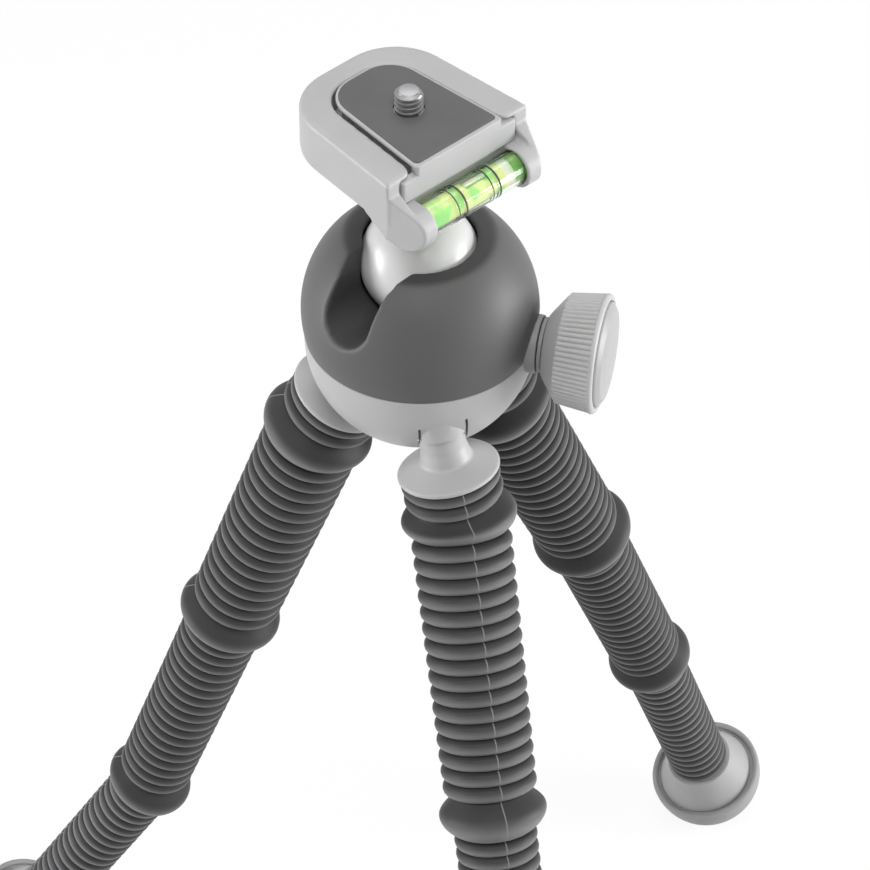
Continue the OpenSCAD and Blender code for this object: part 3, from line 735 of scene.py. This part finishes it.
# Finishes for the solids that stay as they are
CAD_FINISH = {
    "pale_plastic": PALE, "plate_rubber": PAD_GREY, "steel": STEEL, "level_glass": GLASS,
    "level_fluid": GLOWING_FLUID, "level_plug": PLUG, "white_ball": BALL_WHITE, "dome_grey": DOME_GREY,
    "black_acetal": LINK_BLACK, "bush_grey": BUSH_GREY, "knob_grey": KNOB_GREY, "knob_cap": CAP_GREY,
    "link_black": LINK_BLACK, "sleeve_rubber": SLEEVE_GREY, "foot_grey": FOOT_PALE,
    "foot_rubber": FOOT_RUBBER,
}
SLOT_OF = {part["node"]: part["material_slot"] for part in frame["record"]["subparts"]}
for node_name, node_object in frame["nodes"].items():
    node_object.data.materials.clear()
    node_object.data.materials.append(CAD_FINISH[SLOT_OF[node_name]])


# Quick release plate with its pad and screw
CORNER_STEPS = 16
DECK_RIM = 0.55
DECK_ROUND = 0.3
DECK_CORNER = 0.8
PAD_SHOWN = 0.8
PAD_ROUND = 0.45
PAD_FRONT_CORNER = 1.2
LIP_ROUND = 0.5
LIP_CORNER = 0.6
GROOVE_DEPTH = 4.0
GROOVE_FRONT = 1.0
UNDERCUT = 0.8
OPENING = RIM_W + SLIDE_GAP + 2 * RUN_GAP


def tapered_outline(front, rear, half, corner, front_corner=0.0):
    """Outline with sides that close in towards two round rear corners."""
    rear_half = half - SIDE_TAPER * (front + rear)
    return rounded_path([
        (front, -half, front_corner), (front, half, front_corner), (-rear, rear_half, corner),
        (-rear, -rear_half, corner)
    ], steps=CORNER_STEPS)


def pad_outline(grow=0.0, front_grow=0.0, rear_grow=0.0, front_corner=0.0):
    return tapered_outline(
        PAD_FRONT + grow + front_grow, PAD_REAR + grow + rear_grow,
        PAD_HALF_W + grow + SIDE_TAPER * (grow + front_grow), PAD_CORNER + grow, front_corner
    )


def pad_piece():
    outline = pad_outline(-RUN_GAP, front_corner=PAD_FRONT_CORNER)
    pad = round_rim(prism(outline, -PAD_SHOWN, 0), 0, PAD_ROUND)
    pad = combined(pad, prism(circle(0, 0, SCREW_R + FREE_GAP), -CUT_TOP, CUT_TOP), "DIFFERENCE")
    rigid("pad", pad, PAD_GREY, "plate_rubber", "plate", "plate_pad")


def plate_piece():
    """Plate whose deck stands in a narrow dark groove between it and the receiver's arms."""
    deck_outline = pad_outline(DECK_RIM, RIM_W - DECK_RIM, front_corner=DECK_CORNER)
    deck = round_rim(prism(deck_outline, PLATE_FLOOR, -RIM_DROP), -RIM_DROP, DECK_ROUND)
    lips_outline = pad_outline(RIM_W + LIP_W, -LIP_W, -LIP_W, front_corner=LIP_CORNER)
    lips = prism(lips_outline, PLATE_FLOOR, PLATE_FLOOR + LIP_T)
    round_rim(lips, PLATE_FLOOR + LIP_T, LIP_ROUND)
    groove_floor = PLATE_FLOOR + LIP_T - GROOVE_DEPTH
    groove = prism(pad_outline(OPENING, -OPENING - GROOVE_FRONT), groove_floor, -RECEIVER_TOP)
    groove = combined(groove, prism(pad_outline(-UNDERCUT, CUT_REACH), CUT_FLOOR, CUT_TOP), "DIFFERENCE")
    plate = combined(combined(deck, lips, "UNION"), groove, "DIFFERENCE")
    cuts = (
        prism(pad_outline(front_corner=PAD_FRONT_CORNER), -PAD_SHOWN, CUT_TOP),
        prism(circle(0, 0, SHANK_R + RUN_GAP), CUT_FLOOR, CUT_TOP),
        prism(circle(0, 0, SCREW_HEAD_R + FREE_GAP), CUT_FLOOR, PLATE_FLOOR + SCREW_HEAD_T + FREE_GAP),
    )
    for cut in cuts:
        plate = combined(plate, cut, "DIFFERENCE")
    rigid("plate", plate, PALE, "pale_plastic", "plate", "quick_plate")


THREAD_PITCH = 1.27
THREAD_DEPTH = 0.62
THREAD_START = 0.7 - PAD_T
THREAD_SINK = 0.2
CREST_SHARE = 0.14
ROOT_SHARE = 0.44
TURN_STEPS = 48
RUN_OUT_LEN = 0.6
RUN_OUT_SLOPE = 0.7
SCREW_EDGE = 0.2
TIP_LEN = 0.5
TIP_IN = 0.35
TIP_EDGE = 0.15


def camera_screw_piece():
    """Screw with a real thread: a ridge wound round a core, running out at the chamfered top."""
    core_r = SCREW_R - THREAD_DEPTH
    tip_r, sunk_r = core_r - TIP_IN, core_r - THREAD_SINK
    shank_r = SHANK_R - RUN_GAP
    floor, head_top = PLATE_FLOOR + RUN_GAP, PLATE_FLOOR + SCREW_HEAD_T
    core = lathe([
        (0, floor), (SCREW_HEAD_R - SCREW_EDGE, floor), (SCREW_HEAD_R, floor + SCREW_EDGE),
        (SCREW_HEAD_R, head_top), (shank_r, head_top), (shank_r, -PAD_T), (core_r, SCREW_EDGE - PAD_T),
        (core_r, SCREW_UP - TIP_LEN), (tip_r, SCREW_UP - RUN_GAP), (tip_r - TIP_EDGE, SCREW_UP),
        (0, SCREW_UP),
    ], SMALL_ROUND)
    ridge = bmesh.new()
    crest, root = CREST_SHARE * THREAD_PITCH, ROOT_SHARE * THREAD_PITCH
    corners = [
        (sunk_r, THREAD_START - root), (SCREW_R, THREAD_START - crest), (SCREW_R, THREAD_START + crest),
        (sunk_r, THREAD_START + root)
    ]
    verts = [ridge.verts.new((r, 0, z)) for r, z in corners]
    edges = [ridge.edges.new((verts[i - 1], verts[i])) for i in range(4)]
    turns = (SCREW_UP - THREAD_START - root) / THREAD_PITCH
    steps = round(TURN_STEPS * turns)
    bmesh.ops.spin(
        ridge, geom=verts + edges, axis=(0, 0, 1), cent=(0, 0, 0), dvec=(0, 0, turns * THREAD_PITCH / steps),
        angle=2 * math.pi * turns, steps=steps
    )
    bmesh.ops.holes_fill(ridge, edges=[e for e in ridge.edges if e.is_boundary], sides=4)
    for vert in ridge.verts:
        radius = math.hypot(vert.co.x, vert.co.y)
        limit = SCREW_R - max(0, vert.co.z - SCREW_UP + RUN_OUT_LEN) * RUN_OUT_SLOPE
        if radius > limit:
            vert.co.x *= limit / radius
            vert.co.y *= limit / radius
    screw = joined(core, tidy(ridge))
    rigid("camera_screw_threaded", screw, STEEL, "steel", "camera_screw", "camera_screw", sharp=30)


pad_piece()
plate_piece()
camera_screw_piece()


# Receiver with the ears of the level
WEB_DROP = 5.0
EAR_STEPS = 24
EAR_SETBACK = 0.3
EAR_INSET = 0.1
EAR_KNEE = 0.5
EAR_TIP_INSET = 0.4
ARM_END_R = 2.4
ARM_END_STEPS = 12
ARM_END_LOW = 0.4
ARM_END_TOP = 2.0
RECEIVER_ROUND = 2.8
RECEIVER_EDGE = 0.9
RECEIVER_VOXEL = 0.36
RECEIVER_PASSES = 3


def along_y(outline, low, high):
    """Outline in X and Z drawn along Y."""
    return moved(prism(outline, -high, -low), turn("X", 90))


def ear(side):
    """Ear that starts level with the arm's outer side, closes in and ends round the level."""
    root, tip = RECEIVER_FRONT - EAR_RUN, LEVEL_X + EAR_R + MARGIN
    reach = Vector((RECEIVER_FRONT - LEVEL_X, LEVEL_DROP - WEB_DROP))
    last = math.degrees(math.atan2(reach.y, reach.x) - math.acos(EAR_R / reach.length))
    outline = [(root, -WEB_DROP), (root, MARGIN - RECEIVER_DEPTH)]
    outline += arc(LEVEL_X, -LEVEL_DROP, EAR_R, -90, last, EAR_STEPS)
    outline.append((RECEIVER_FRONT - EAR_SETBACK, -WEB_DROP))
    web = along_y(outline, *sorted((side * LEVEL_LEN / 2, side * (RECEIVER_HALF_W + MARGIN))))
    start = root - MARGIN
    start_half = RECEIVER_HALF_W - SIDE_TAPER * (EAR_RUN + MARGIN) - EAR_INSET
    outside = [
        (start, side * start_half), (RECEIVER_FRONT - EAR_KNEE, side * (RECEIVER_HALF_W - EAR_INSET)),
        (tip, side * (EAR_HALF_W - EAR_TIP_INSET)), (tip, side * CUT_REACH), (start, side * CUT_REACH)
    ]
    return combined(web, prism(outside, CUT_FLOOR, CUT_TOP), "DIFFERENCE")


def arm_end_cut(side):
    """What rounds the inner corner at the front end of an arm."""
    inner = PAD_HALF_W + OPENING + SIDE_TAPER * (RECEIVER_FRONT - PAD_FRONT)
    x, y = RECEIVER_FRONT - ARM_END_R, inner + ARM_END_R
    front, free = RECEIVER_FRONT + MARGIN, inner - MARGIN
    outline = [(front, free), (front, y)] + arc(x, y, ARM_END_R, 0, -90, ARM_END_STEPS) + [(x - MARGIN, free)]
    return prism([(px, side * py) for px, py in outline], LIP_UNDER - ARM_END_LOW, ARM_END_TOP)


def receiver_piece():
    outline = tapered_outline(RECEIVER_FRONT, RECEIVER_REAR, RECEIVER_HALF_W, RECEIVER_CORNER)
    body = prism(outline, -RECEIVER_DEPTH, -RECEIVER_TOP)
    round_rim(body, -RECEIVER_DEPTH, RECEIVER_ROUND, 6)
    round_rim(body, -RECEIVER_TOP, RECEIVER_EDGE)
    for side in (-1, 1):
        body = combined(body, ear(side), "UNION")
    head_floor = RECEIVER_FLOOR - 2 * FREE_GAP - STEM_HEAD_T
    seat = LEVEL_LEN / 2 + LEVEL_SEAT
    cuts = (
        prism(pad_outline(RIM_W + LIP_W + SLIDE_GAP, CUT_REACH, -LIP_W), RECEIVER_FLOOR, LIP_UNDER),
        prism(pad_outline(OPENING, CUT_REACH), LIP_UNDER - MARGIN, CUT_TOP),
        along_y(circle(LEVEL_X, -LEVEL_DROP, LEVEL_R + 2 * RUN_GAP), -seat, seat),
        prism(circle(BALL_X, 0, SPIGOT_R + FREE_GAP), CUT_FLOOR, 0),
        prism(circle(BALL_X, 0, STEM_HEAD_R + FREE_GAP), head_floor, 0),
        arm_end_cut(-1), arm_end_cut(1),
    )
    for cut in cuts:
        body = combined(body, cut, "DIFFERENCE")
    body = softened(body, RECEIVER_VOXEL, RECEIVER_PASSES)
    rigid("receiver_body", body, PALE, "pale_plastic", "receiver", "receiver", sharp=70)


receiver_piece()


# Bubble level: its rings are (place, width), and places run along the tube from its middle
LEVEL_RINGS = ((3.9, 0.45), (6.1, 0.25), (-6.1, 0.45), (-4.0, 0.25))
RING_SINK = 0.1
TUBE_EDGE = 0.2
BUBBLE_AT = -1.4
BUBBLE_OPEN = 0.5
BUBBLE_SHADE_RING_W = 0.3
FLUID_END = -8.6
WINDOW_END = -11.0


def bubble_capsule(radius, inside):
    """Long round bubble that lies against the top of the tube."""
    half = BUBBLE_LEN / 2
    capsule = [(x, y + math.copysign(half, y)) for x, y in arc(0, 0, radius, -90, 90, 16)]
    return moved(lathe(capsule, 32), shift(0, inside - BUBBLE_R + BUBBLE_OPEN, BUBBLE_AT))


def level_pieces():
    reach = LEVEL_LEN / 2 + LEVEL_SEAT - RUN_GAP
    inner = LEVEL_R - LEVEL_WALL
    edge_r, side = LEVEL_R - TUBE_EDGE, reach - TUBE_EDGE
    tube = lathe([
        (inner, -reach), (edge_r, -reach), (LEVEL_R, -side), (LEVEL_R, side), (edge_r, reach),
        (inner, reach), (inner, -reach)
    ], SMALL_ROUND)
    rigid("level_glass_tube", tube, GLASS, "level_glass", "receiver", "level_tube", matrix=LEVEL)
    ends = reach - PLUG_LEN
    inside = inner - RUN_GAP
    core_r = BUBBLE_R - BUBBLE_SHADE_RING_W

    def filled():
        return rod(inside, FLUID_END, ends)

    liquid = combined(filled(), bubble_capsule(BUBBLE_R, inside), "DIFFERENCE")
    rigid("level_liquid", liquid, GLOWING_FLUID, "level_fluid", "receiver", "level_fluid", matrix=LEVEL)
    bubble = combined(filled(), bubble_capsule(core_r - RUN_GAP, inside), "INTERSECT")
    rigid("level_bubble", bubble, WINDOW, "level_glass", "receiver", matrix=LEVEL)
    # Painted shade: a dark green ring round the bubble's pale core, standing for its dark outline.
    edge = combined(filled(), bubble_capsule(BUBBLE_R - RUN_GAP, inside), "INTERSECT")
    edge = combined(edge, bubble_capsule(core_r, inside), "DIFFERENCE")
    rigid("level_bubble_shade_ring", edge, PLUG, "level_plug", "receiver", matrix=LEVEL)
    plugs = joined(rod(inner, ends, reach), rod(inner, -reach, WINDOW_END))
    rigid("level_end_plugs", plugs, PLUG, "level_plug", "receiver", "level_plugs", matrix=LEVEL)
    window = rod(inside, WINDOW_END, FLUID_END)
    rigid("level_end_window", window, WINDOW, "level_glass", "receiver", matrix=LEVEL)
    ring_in, ring_out = LEVEL_R - RING_SINK, LEVEL_R + RUN_GAP
    rings = [ring(ring_in, ring_out, place - width / 2, place + width / 2) for place, width in LEVEL_RINGS]
    rigid("level_rings", joined(*rings), LINK_BLACK, "link_black", "receiver", matrix=LEVEL)


level_pieces()


# Ball and housing
# Depth below the dome's round face where its painted shade begins, and the depth over which it deepens
RECESS_SHADE_FROM = 0.2
RECESS_SHADE_RISE = 0.5
SKIRT = 5.0
DISH = 0.4
DOME_STEPS = 40
NOTCH_TOP_W = 17.0
NOTCH_FLARE = 4.0
NOTCH_STEPS = 32
SHRINK = 0.2
DOME_VOXEL = 0.5
DOME_PASSES = 10
DOME_BUSH_STEPS = 72
SEAM_GAP = 0.08
CUP_STEPS = 32
CUP_EDGE = 0.3
SOCKET_STEPS = 24


def ball_piece():
    ball = sphere(BALL_R, 96, 64)
    rigid("white_ball", ball, BALL_WHITE, "white_ball", "ball", "ball", matrix=DOME @ shift(0, 0, BALL_H))


def mark_recess_shade(dome):
    """Marks what lies behind the dome's round outer face, the flat top, the notch and the cavity, where
    painted shade darkens it.
    """
    inside = dome.verts.layers.float.new(RECESS_SHADE)
    centre = Vector((0, 0, DOME_RISE))
    for vert in dome.verts:
        depth = DOME_R - (vert.co - centre).length
        vert[inside] = clamped((depth - RECESS_SHADE_FROM) / RECESS_SHADE_RISE)


def dome_piece():
    """Dome cut out for the ball, the notch and the room below, then rounded all over."""
    low, top = (math.degrees(math.asin((z - DOME_RISE) / DOME_R)) for z in (-SKIRT, DOME_TOP))
    wall = arc(0, DOME_RISE, DOME_R, low, top, DOME_STEPS)
    dome = lathe([(0, -SKIRT)] + wall + [(0, DOME_TOP - DISH)], WIDE_ROUND)
    half, top_half = NOTCH_W / 2, NOTCH_TOP_W / 2
    notch = arc(0, NOTCH_FLOOR + half, half, -180, 0, NOTCH_STEPS)
    notch += [
        (half, DOME_TOP - NOTCH_FLARE), (top_half, DOME_TOP + NOTCH_FLARE),
        (-top_half, DOME_TOP + NOTCH_FLARE), (-half, DOME_TOP - NOTCH_FLARE)
    ]
    cuts = (
        moved(sphere(BALL_R + FREE_GAP + SHRINK, 96, 64), shift(0, 0, BALL_H)),
        prism(circle(0, 0, SEAT_R + 2 * FREE_GAP), -2 * SKIRT, BALL_H),
        prism(circle(0, 0, ROOM_R), -2 * SKIRT, ROOM_UP),
        moved(along_y(notch, FREE_GAP, CUT_OUT), turn("Z", NOTCH_AZ - 90)),
        moved(prism(circle(0, 0, BUSH_R + RUN_GAP, DOME_BUSH_STEPS), 0, CUT_OUT), BUSH_WAY),
    )
    for cut in cuts:
        dome = combined(dome, cut, "DIFFERENCE")
    dome = softened(dome, DOME_VOXEL, DOME_PASSES)
    seam = bmesh.ops.bisect_plane(
        dome, geom=dome.verts[:] + dome.edges[:] + dome.faces[:], plane_co=(0, 0, SEAM_GAP),
        plane_no=(0, 0, 1), clear_inner=True
    )["geom_cut"]
    seam_edges = [g for g in seam if isinstance(g, bmesh.types.BMEdge)]
    bmesh.ops.triangle_fill(dome, edges=seam_edges, use_beauty=True)
    mark_recess_shade(tidy(dome))
    rigid("dome", dome, DOME_GREY, "dome_grey", "base", "socket_dome", matrix=DOME, sharp=60)


def cup_piece():
    """Lower housing with its room, the holes for the leg roots and the slits beside them."""
    bottom = -math.degrees(math.asin((CUP_DEPTH - CUP_CENTRE) / CUP_R))
    rim = math.degrees(math.asin(CUP_CENTRE / CUP_R))
    wall = arc(0, -CUP_CENTRE, CUP_R, bottom, rim, CUP_STEPS)[:-1]
    edge_r = SEAM_R - RUN_GAP
    edge = [(edge_r, -CUP_EDGE), (edge_r - CUP_EDGE, 0), (0, 0)]
    cup = lathe([(0, -CUP_DEPTH)] + wall + edge, WIDE_ROUND)
    to_dome = DOME.inverted()
    for leg in LEGS:
        cuff = moved(prism(circle(0, 0, NECK_R + CUFF_T), CUFF_LOW, CUFF_HIGH), to_dome @ flange_frame(leg))
        cup = combined(cup, cuff, "UNION")
    cup = combined(cup, prism(circle(0, 0, ROOM_R, WIDE_ROUND), -ROOM_DEPTH, CUT_TOP), "DIFFERENCE")
    gap = RUN_GAP
    root = [
        (0, -FLANGE_EDGE), (LEG_FLANGE_R + gap, -FLANGE_EDGE), (LEG_FLANGE_R + gap, gap),
        (NECK_FOOT_R + gap, FLANGE_CONE + gap), (NECK_R + gap, NECK_CONE), (NECK_R + gap, NECK_LEN),
        (0, NECK_LEN)
    ]
    for leg in LEGS:
        place = to_dome @ flange_frame(leg)
        cup = combined(cup, moved(lathe(root, SMALL_ROUND), place), "DIFFERENCE")
        for side in (-1, 1):
            low, high = side * NECK_R - SLIT_W / 2, side * NECK_R + SLIT_W / 2
            corners = [(0, low), (CUT_REACH, low), (CUT_REACH, high), (0, high)]
            slit = prism(corners, NECK_CONE, NECK_CONE + SLIT_LEN)
            cup = combined(cup, moved(slit, place), "DIFFERENCE")
    bush = moved(prism(circle(0, 0, BUSH_R + gap), 0, CUT_OUT), BUSH_WAY)
    cup = combined(cup, bush, "DIFFERENCE")
    rigid("cup", cup, PALE, "pale_plastic", "base", "base_cup", matrix=DOME, sharp=30)


def flange_piece(leg):
    """Neck and disc of a leg's root, with the rod and the socket that it hides."""
    disc = lathe(rounded_path([
        (0, NECK_LEN, 0), (NECK_R, NECK_LEN, 0.4), (NECK_R, NECK_CONE, 2),
        (NECK_FOOT_R - 0.2, FLANGE_CONE, 1.2), (LEG_FLANGE_R - 0.3, 0.1, 0.3), (LEG_FLANGE_R, -0.2, 0.2),
        (LEG_FLANGE_R, -FLANGE_EDGE, 0.3), (0, -FLANGE_EDGE, 0)
    ], closed=False))
    outer, inner = socket_out(0), socket_in(0)
    stub = rod(ROD_R[0], 1 - ROOT_LEN, 0)
    ball = sphere(BORE_R[0] - FREE_GAP, 48, 32)
    link = rod(ROD_R[0], outer - QUARTER - 0.5, -1)
    mouth = -inner * math.cos(math.radians(MOUTH_ANGLE))
    low_out, low_in = (-math.degrees(math.asin(-mouth / r)) for r in (outer, inner))
    wall_out = arc(0, 0, outer, 90, low_out, SOCKET_STEPS)
    wall_in = arc(0, 0, inner, low_in, 90, SOCKET_STEPS)
    socket = lathe(wall_out + wall_in, HIDDEN_ROUND)
    root, own = flange_frame(leg), section_frame(leg, 0)
    parts = (
        moved(disc, root), moved(stub, root), moved(ball, own), moved(link, own),
        moved(socket, own @ shift(0, 0, -QUARTER))
    )
    rigid(f"leg_{leg}_root", joined(*parts), PALE, "pale_plastic", "base", f"leg_{leg}_flange", sharp=30)


ball_piece()
dome_piece()
cup_piece()
for leg_number in LEGS:
    flange_piece(leg_number)


# Clamp knob
KNOB_RIB = 0.42
RIB_STEPS = 6
KNOB_ROWS = 10
KNOB_RIM_R = 13.7
KNOB_WAIST_R = 12.5
KNOB_RIM_T = 1.3


def knob_pieces():
    back = BUSH_OUT + WASHER_T + 2 * FREE_GAP
    band_end = KNOB_FACE - CAP_T / 2
    band, rim = band_end - KNOB_BAND, band_end - KNOB_RIM_T
    flare = (KNOB_RIM_R - KNOB_WAIST_R) / KNOB_BAND
    cap_floor = band_end - CAP_T / 2
    heights = evenly(band + 0.3, rim, KNOB_ROWS)
    profile = [(0, back), (7.2, back), (7.7, back + 0.3)]
    profile += [(KNOB_WAIST_R - 1.1, band - 0.6), (KNOB_WAIST_R - 0.4, band)]
    profile += [(KNOB_WAIST_R + flare * (z - band), z) for z in heights]
    profile += [
        (KNOB_RIM_R, rim + 0.3), (KNOB_RIM_R - 0.1, band_end - 0.5), (KNOB_RIM_R - 0.5, band_end - 0.05),
        (CAP_R + 0.5, band_end), (CAP_R + 0.15, band_end - 0.4), (CAP_R + 0.15, cap_floor), (0, cap_floor)
    ]
    knob = lathe(profile, KNOB_RIBS * RIB_STEPS)
    for vert in knob.verts:
        radius = math.hypot(vert.co.x, vert.co.y)
        if radius < KNOB_WAIST_R - 0.3 or not band < vert.co.z < rim + 0.1:
            continue
        wave = abs(math.sin(KNOB_RIBS / 2 * math.atan2(vert.co.y, vert.co.x))) ** 0.7
        shrink = 1 - KNOB_RIB * (1 - wave) * min(1, (vert.co.z - band) / 0.6) / radius
        vert.co.x *= shrink
        vert.co.y *= shrink
    rigid("knob_ribbed", knob, KNOB_GREY, "knob_grey", "knob", "knob_body", matrix=KNOB, sharp=50)
    cap_back = KNOB_FACE - CAP_T
    cap = lathe(rounded_path([
        (0, cap_back, 0), (CAP_R, cap_back, 0), (CAP_R, KNOB_FACE - 1.3, 0.8),
        (CAP_R - 1.6, KNOB_FACE - 0.25, 1.2), (CAP_R / 2, KNOB_FACE + 0.1, 30), (0, KNOB_FACE + 0.2, 0)
    ], closed=False), WIDE_ROUND)
    rigid("knob_face_cap", cap, CAP_GREY, "knob_cap", "knob", "knob_cap", matrix=KNOB, sharp=40)
    bore = CLAMP_R + RUN_GAP
    start = BUSH_OUT - BUSH_LEN
    neck_r = BUSH_R + 0.4
    bush = lathe([
        (bore, start), (BUSH_R, start), (BUSH_R, DOME_R - 1.5), (neck_r, DOME_R - 1.5),
        (neck_r, BUSH_OUT - 0.4), (neck_r - 0.1, BUSH_OUT - 0.1), (neck_r - 0.4, BUSH_OUT),
        (bore, BUSH_OUT), (bore, start)
    ], 96)
    rigid("knob_bush_ring", bush, BUSH_GREY, "bush_grey", "base", "knob_bush", matrix=KNOB)
    low, high = BUSH_OUT + FREE_GAP, BUSH_OUT + FREE_GAP + WASHER_T
    washer = ring(bore, BUSH_R, low, high)
    rigid("washer_ring", washer, BUSH_GREY, "bush_grey", "knob_washer", "thrust_washer", matrix=KNOB)


knob_pieces()


# Feet
def foot_pieces(leg):
    body = f"leg_{leg}_foot"
    place = section_frame(leg, 2) @ shift(0, 0, -SEG_LEN)
    disc_r = FOOT_R - FOOT_RIM - FOOT_GROOVE
    cover = lathe(rounded_path([
        (0, FOOT_CONE, 0), (FOOT_NECK_R - 0.3, FOOT_CONE, 0.3), (FOOT_NECK_R + 0.2, 7.6, 2.5),
        (disc_r - 0.3, 1.3, 0.5), (disc_r, 0.6, 0.3), (disc_r, 0, 0), (FOOT_PLUG_R, 0, 0),
        (FOOT_PLUG_R, -FOOT_PLUG, 0), (0, -FOOT_PLUG, 0)
    ], closed=False))
    joint = SEG_LEN - 3 * QUARTER
    shoulder = joint - socket_out(2)
    link = lathe([
        (0, 0), (ROD_R[2], 0), (ROD_R[2], shoulder - 3.9), (JOINT_NECK_R[2], shoulder),
        (JOINT_NECK_R[2], joint), (0, joint)
    ], 48)
    ball = moved(sphere(JOINT_R[2], 40, 24), shift(0, 0, joint))
    core = joined(cover, link, ball)
    core_node, pad_node = f"leg_{leg}_foot_core", f"leg_{leg}_foot_pad"
    rigid(f"leg_{leg}_foot_cover", core, FOOT_PALE, "foot_grey", body, core_node, matrix=place, sharp=35)
    bowl = arc(0, 0, FOOT_R, -90, 0, 28)
    hollow = FOOT_R - FOOT_RIM
    hole_r, hole_floor = FOOT_PLUG_R + RUN_GAP, -FOOT_PLUG - RUN_GAP
    rim = [(FOOT_R, 0.5), (FOOT_R - 0.2, 0.9), (FOOT_R - 0.6, 1.1), (hollow + 0.3, 1.0), (hollow, 0.7)]
    hole = [(hollow, 0), (hole_r, 0), (hole_r, hole_floor), (0, hole_floor)]
    pad = lathe(bowl + rim + hole)
    rigid(f"leg_{leg}_foot_rubber", pad, FOOT_RUBBER, "foot_rubber", body, pad_node, matrix=place, sharp=50)


for leg_number in LEGS:
    foot_pieces(leg_number)


# Ribbed rubber sleeves
SLEEVE_STEPS = 96
LINE_FADE = 1.5
RIB_POINTS = 8
# Share of a rib where its painted light begins, and the share over which it rises
RIB_LIGHT_FROM = 0.3
RIB_LIGHT_RISE = 0.4
COLLAR_POINTS = 18
BORE_RINGS = 14


def rib_painted_light(share):
    """How much painted light a rib gets, from its top (0), left in painted shade, to its bottom (1), painted
    paler.
    """
    return eased((share - RIB_LIGHT_FROM) / RIB_LIGHT_RISE)


def rib_profile(top, bottom, count, r_top, r_bottom, depth):
    """Points (radius, height, painted light) down a row of half-round ribs with a sharp groove beside each.
    """
    points = []
    for i in range(count * RIB_POINTS + 1):
        rib, share = i // RIB_POINTS, (i % RIB_POINTS) / RIB_POINTS
        angle = math.pi * share
        along = (rib + (1 - math.cos(angle)) / 2) / count
        radius = r_top + (r_bottom - r_top) * along - depth * (1 - math.sin(angle))
        points.append((radius, top + (bottom - top) * along, rib_painted_light(share)))
    return points


def collar_profile(r, r_above, r_below):
    """Points (radius, height, painted light) down a collar that swells most in its lower half, its upper half
    left in painted shade.
    """
    points = []
    for i in range(1, COLLAR_POINTS):
        across = -1 + 2 * i / COLLAR_POINTS
        edge, fullness = (r_above, 1.5) if across < 0 else (r_below, 0.75)
        swell = math.cos(math.pi / 2 * across) ** fullness
        points.append((edge + (r - edge) * swell, -across * COLLAR_HALF, rib_painted_light(i / COLLAR_POINTS)))
    return points


def closed_tube(outer, bore):
    """Closes an outer profile with an inner wall of evenly spaced rings."""
    top, bottom = outer[0][1], outer[-1][1]
    inner = [(bore, z) for z in evenly(bottom, top, BORE_RINGS)]
    path = [(r, z) for r, z, share in outer]
    return path + inner + path[:1]


def kinked(bm, profile, above, own):
    """Marks a straight sleeve's mould line and the painted light and shade on its ribs, and lays it along two
    frames that meet.
    """
    closeness = bm.verts.layers.float.new(MOULD_LINE)
    rib_light = bm.verts.layers.float.new(PAINTED_RIB_LIGHT)
    light_at_height = {}
    for vert in bm.verts:
        off_line = abs(vert.co.y) if vert.co.x > 0 else LINE_FADE
        vert[closeness] = max(0, 1 - off_line / LINE_FADE)
        height = round(vert.co.z, 3)
        if height not in light_at_height:
            light_at_height[height] = min(profile, key=lambda point: abs(point[1] - height))[2]
        vert[rib_light] = light_at_height[height]
        share = eased((COLLAR_HALF - vert.co.z) / (2 * COLLAR_HALF))
        vert.co = (above @ vert.co).lerp(own @ vert.co, share)
    return bm


def leg_bodies(leg):
    return ["base"] + [f"leg_{leg}_link_{i}" for i in range(1, 6)] + [f"leg_{leg}_foot"]


def sleeve_halves(leg, section):
    """The two halves of a section's sleeve, split in a groove at its middle, each over one joint."""
    name = ("upper", "middle", "lower")[section]
    above, own = above_frame(leg, section), section_frame(leg, section)
    end = SEG_LEN - (FOOT_CONE if section == 2 else COLLAR_HALF)
    count, depth = RIBS[section], RIB_DEPTH[section]
    r_top, r_end = SLEEVE_TOP_R[section], SLEEVE_END_R[section]
    half_count = count // 2
    middle = COLLAR_HALF + (end - COLLAR_HALF) * half_count / count
    r_middle = r_top + (r_end - r_top) * half_count / count
    r_over = STUB_R - RIB_DEPTH[0]
    outer = []
    if section == 0:
        outer += rib_profile(ROOT_LEN - FLANGE_EDGE - 0.1, COLLAR_HALF, 2, STUB_R, STUB_R, depth)
    else:
        r_over = SLEEVE_END_R[section - 1] - RIB_DEPTH[section - 1]
        outer.append((r_over, COLLAR_HALF, 0.0))
    outer += collar_profile(COLLAR_R[section], r_over, r_top - depth)
    outer += rib_profile(-COLLAR_HALF, -middle, half_count, r_top, r_middle, depth)
    lower = rib_profile(-middle, -end, count - half_count, r_middle, r_end, depth)
    bodies = leg_bodies(leg)
    first = 2 * section
    spans = (
        ("top", outer, bodies[first], bodies[first + 1], QUARTER, middle - QUARTER),
        ("bottom", lower, bodies[first + 1], bodies[first + 2], 3 * QUARTER, 3 * QUARTER - middle),
    )
    for part, profile, body_above, body_below, pivot, reach in spans:
        tube = lathe(closed_tube(profile, BORE_R[section]), SLEEVE_STEPS)
        bm = kinked(tube, profile, above, own)
        obj = finish_piece(f"leg_{leg}_sleeve_{name}_{part}", bm, SLEEVE_GREY, sharp=80)
        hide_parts(f"leg_{leg}_sleeve_{name}")
        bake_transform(obj)


for leg_number in LEGS:
    for section_number in range(3):
        sleeve_halves(leg_number, section_number)
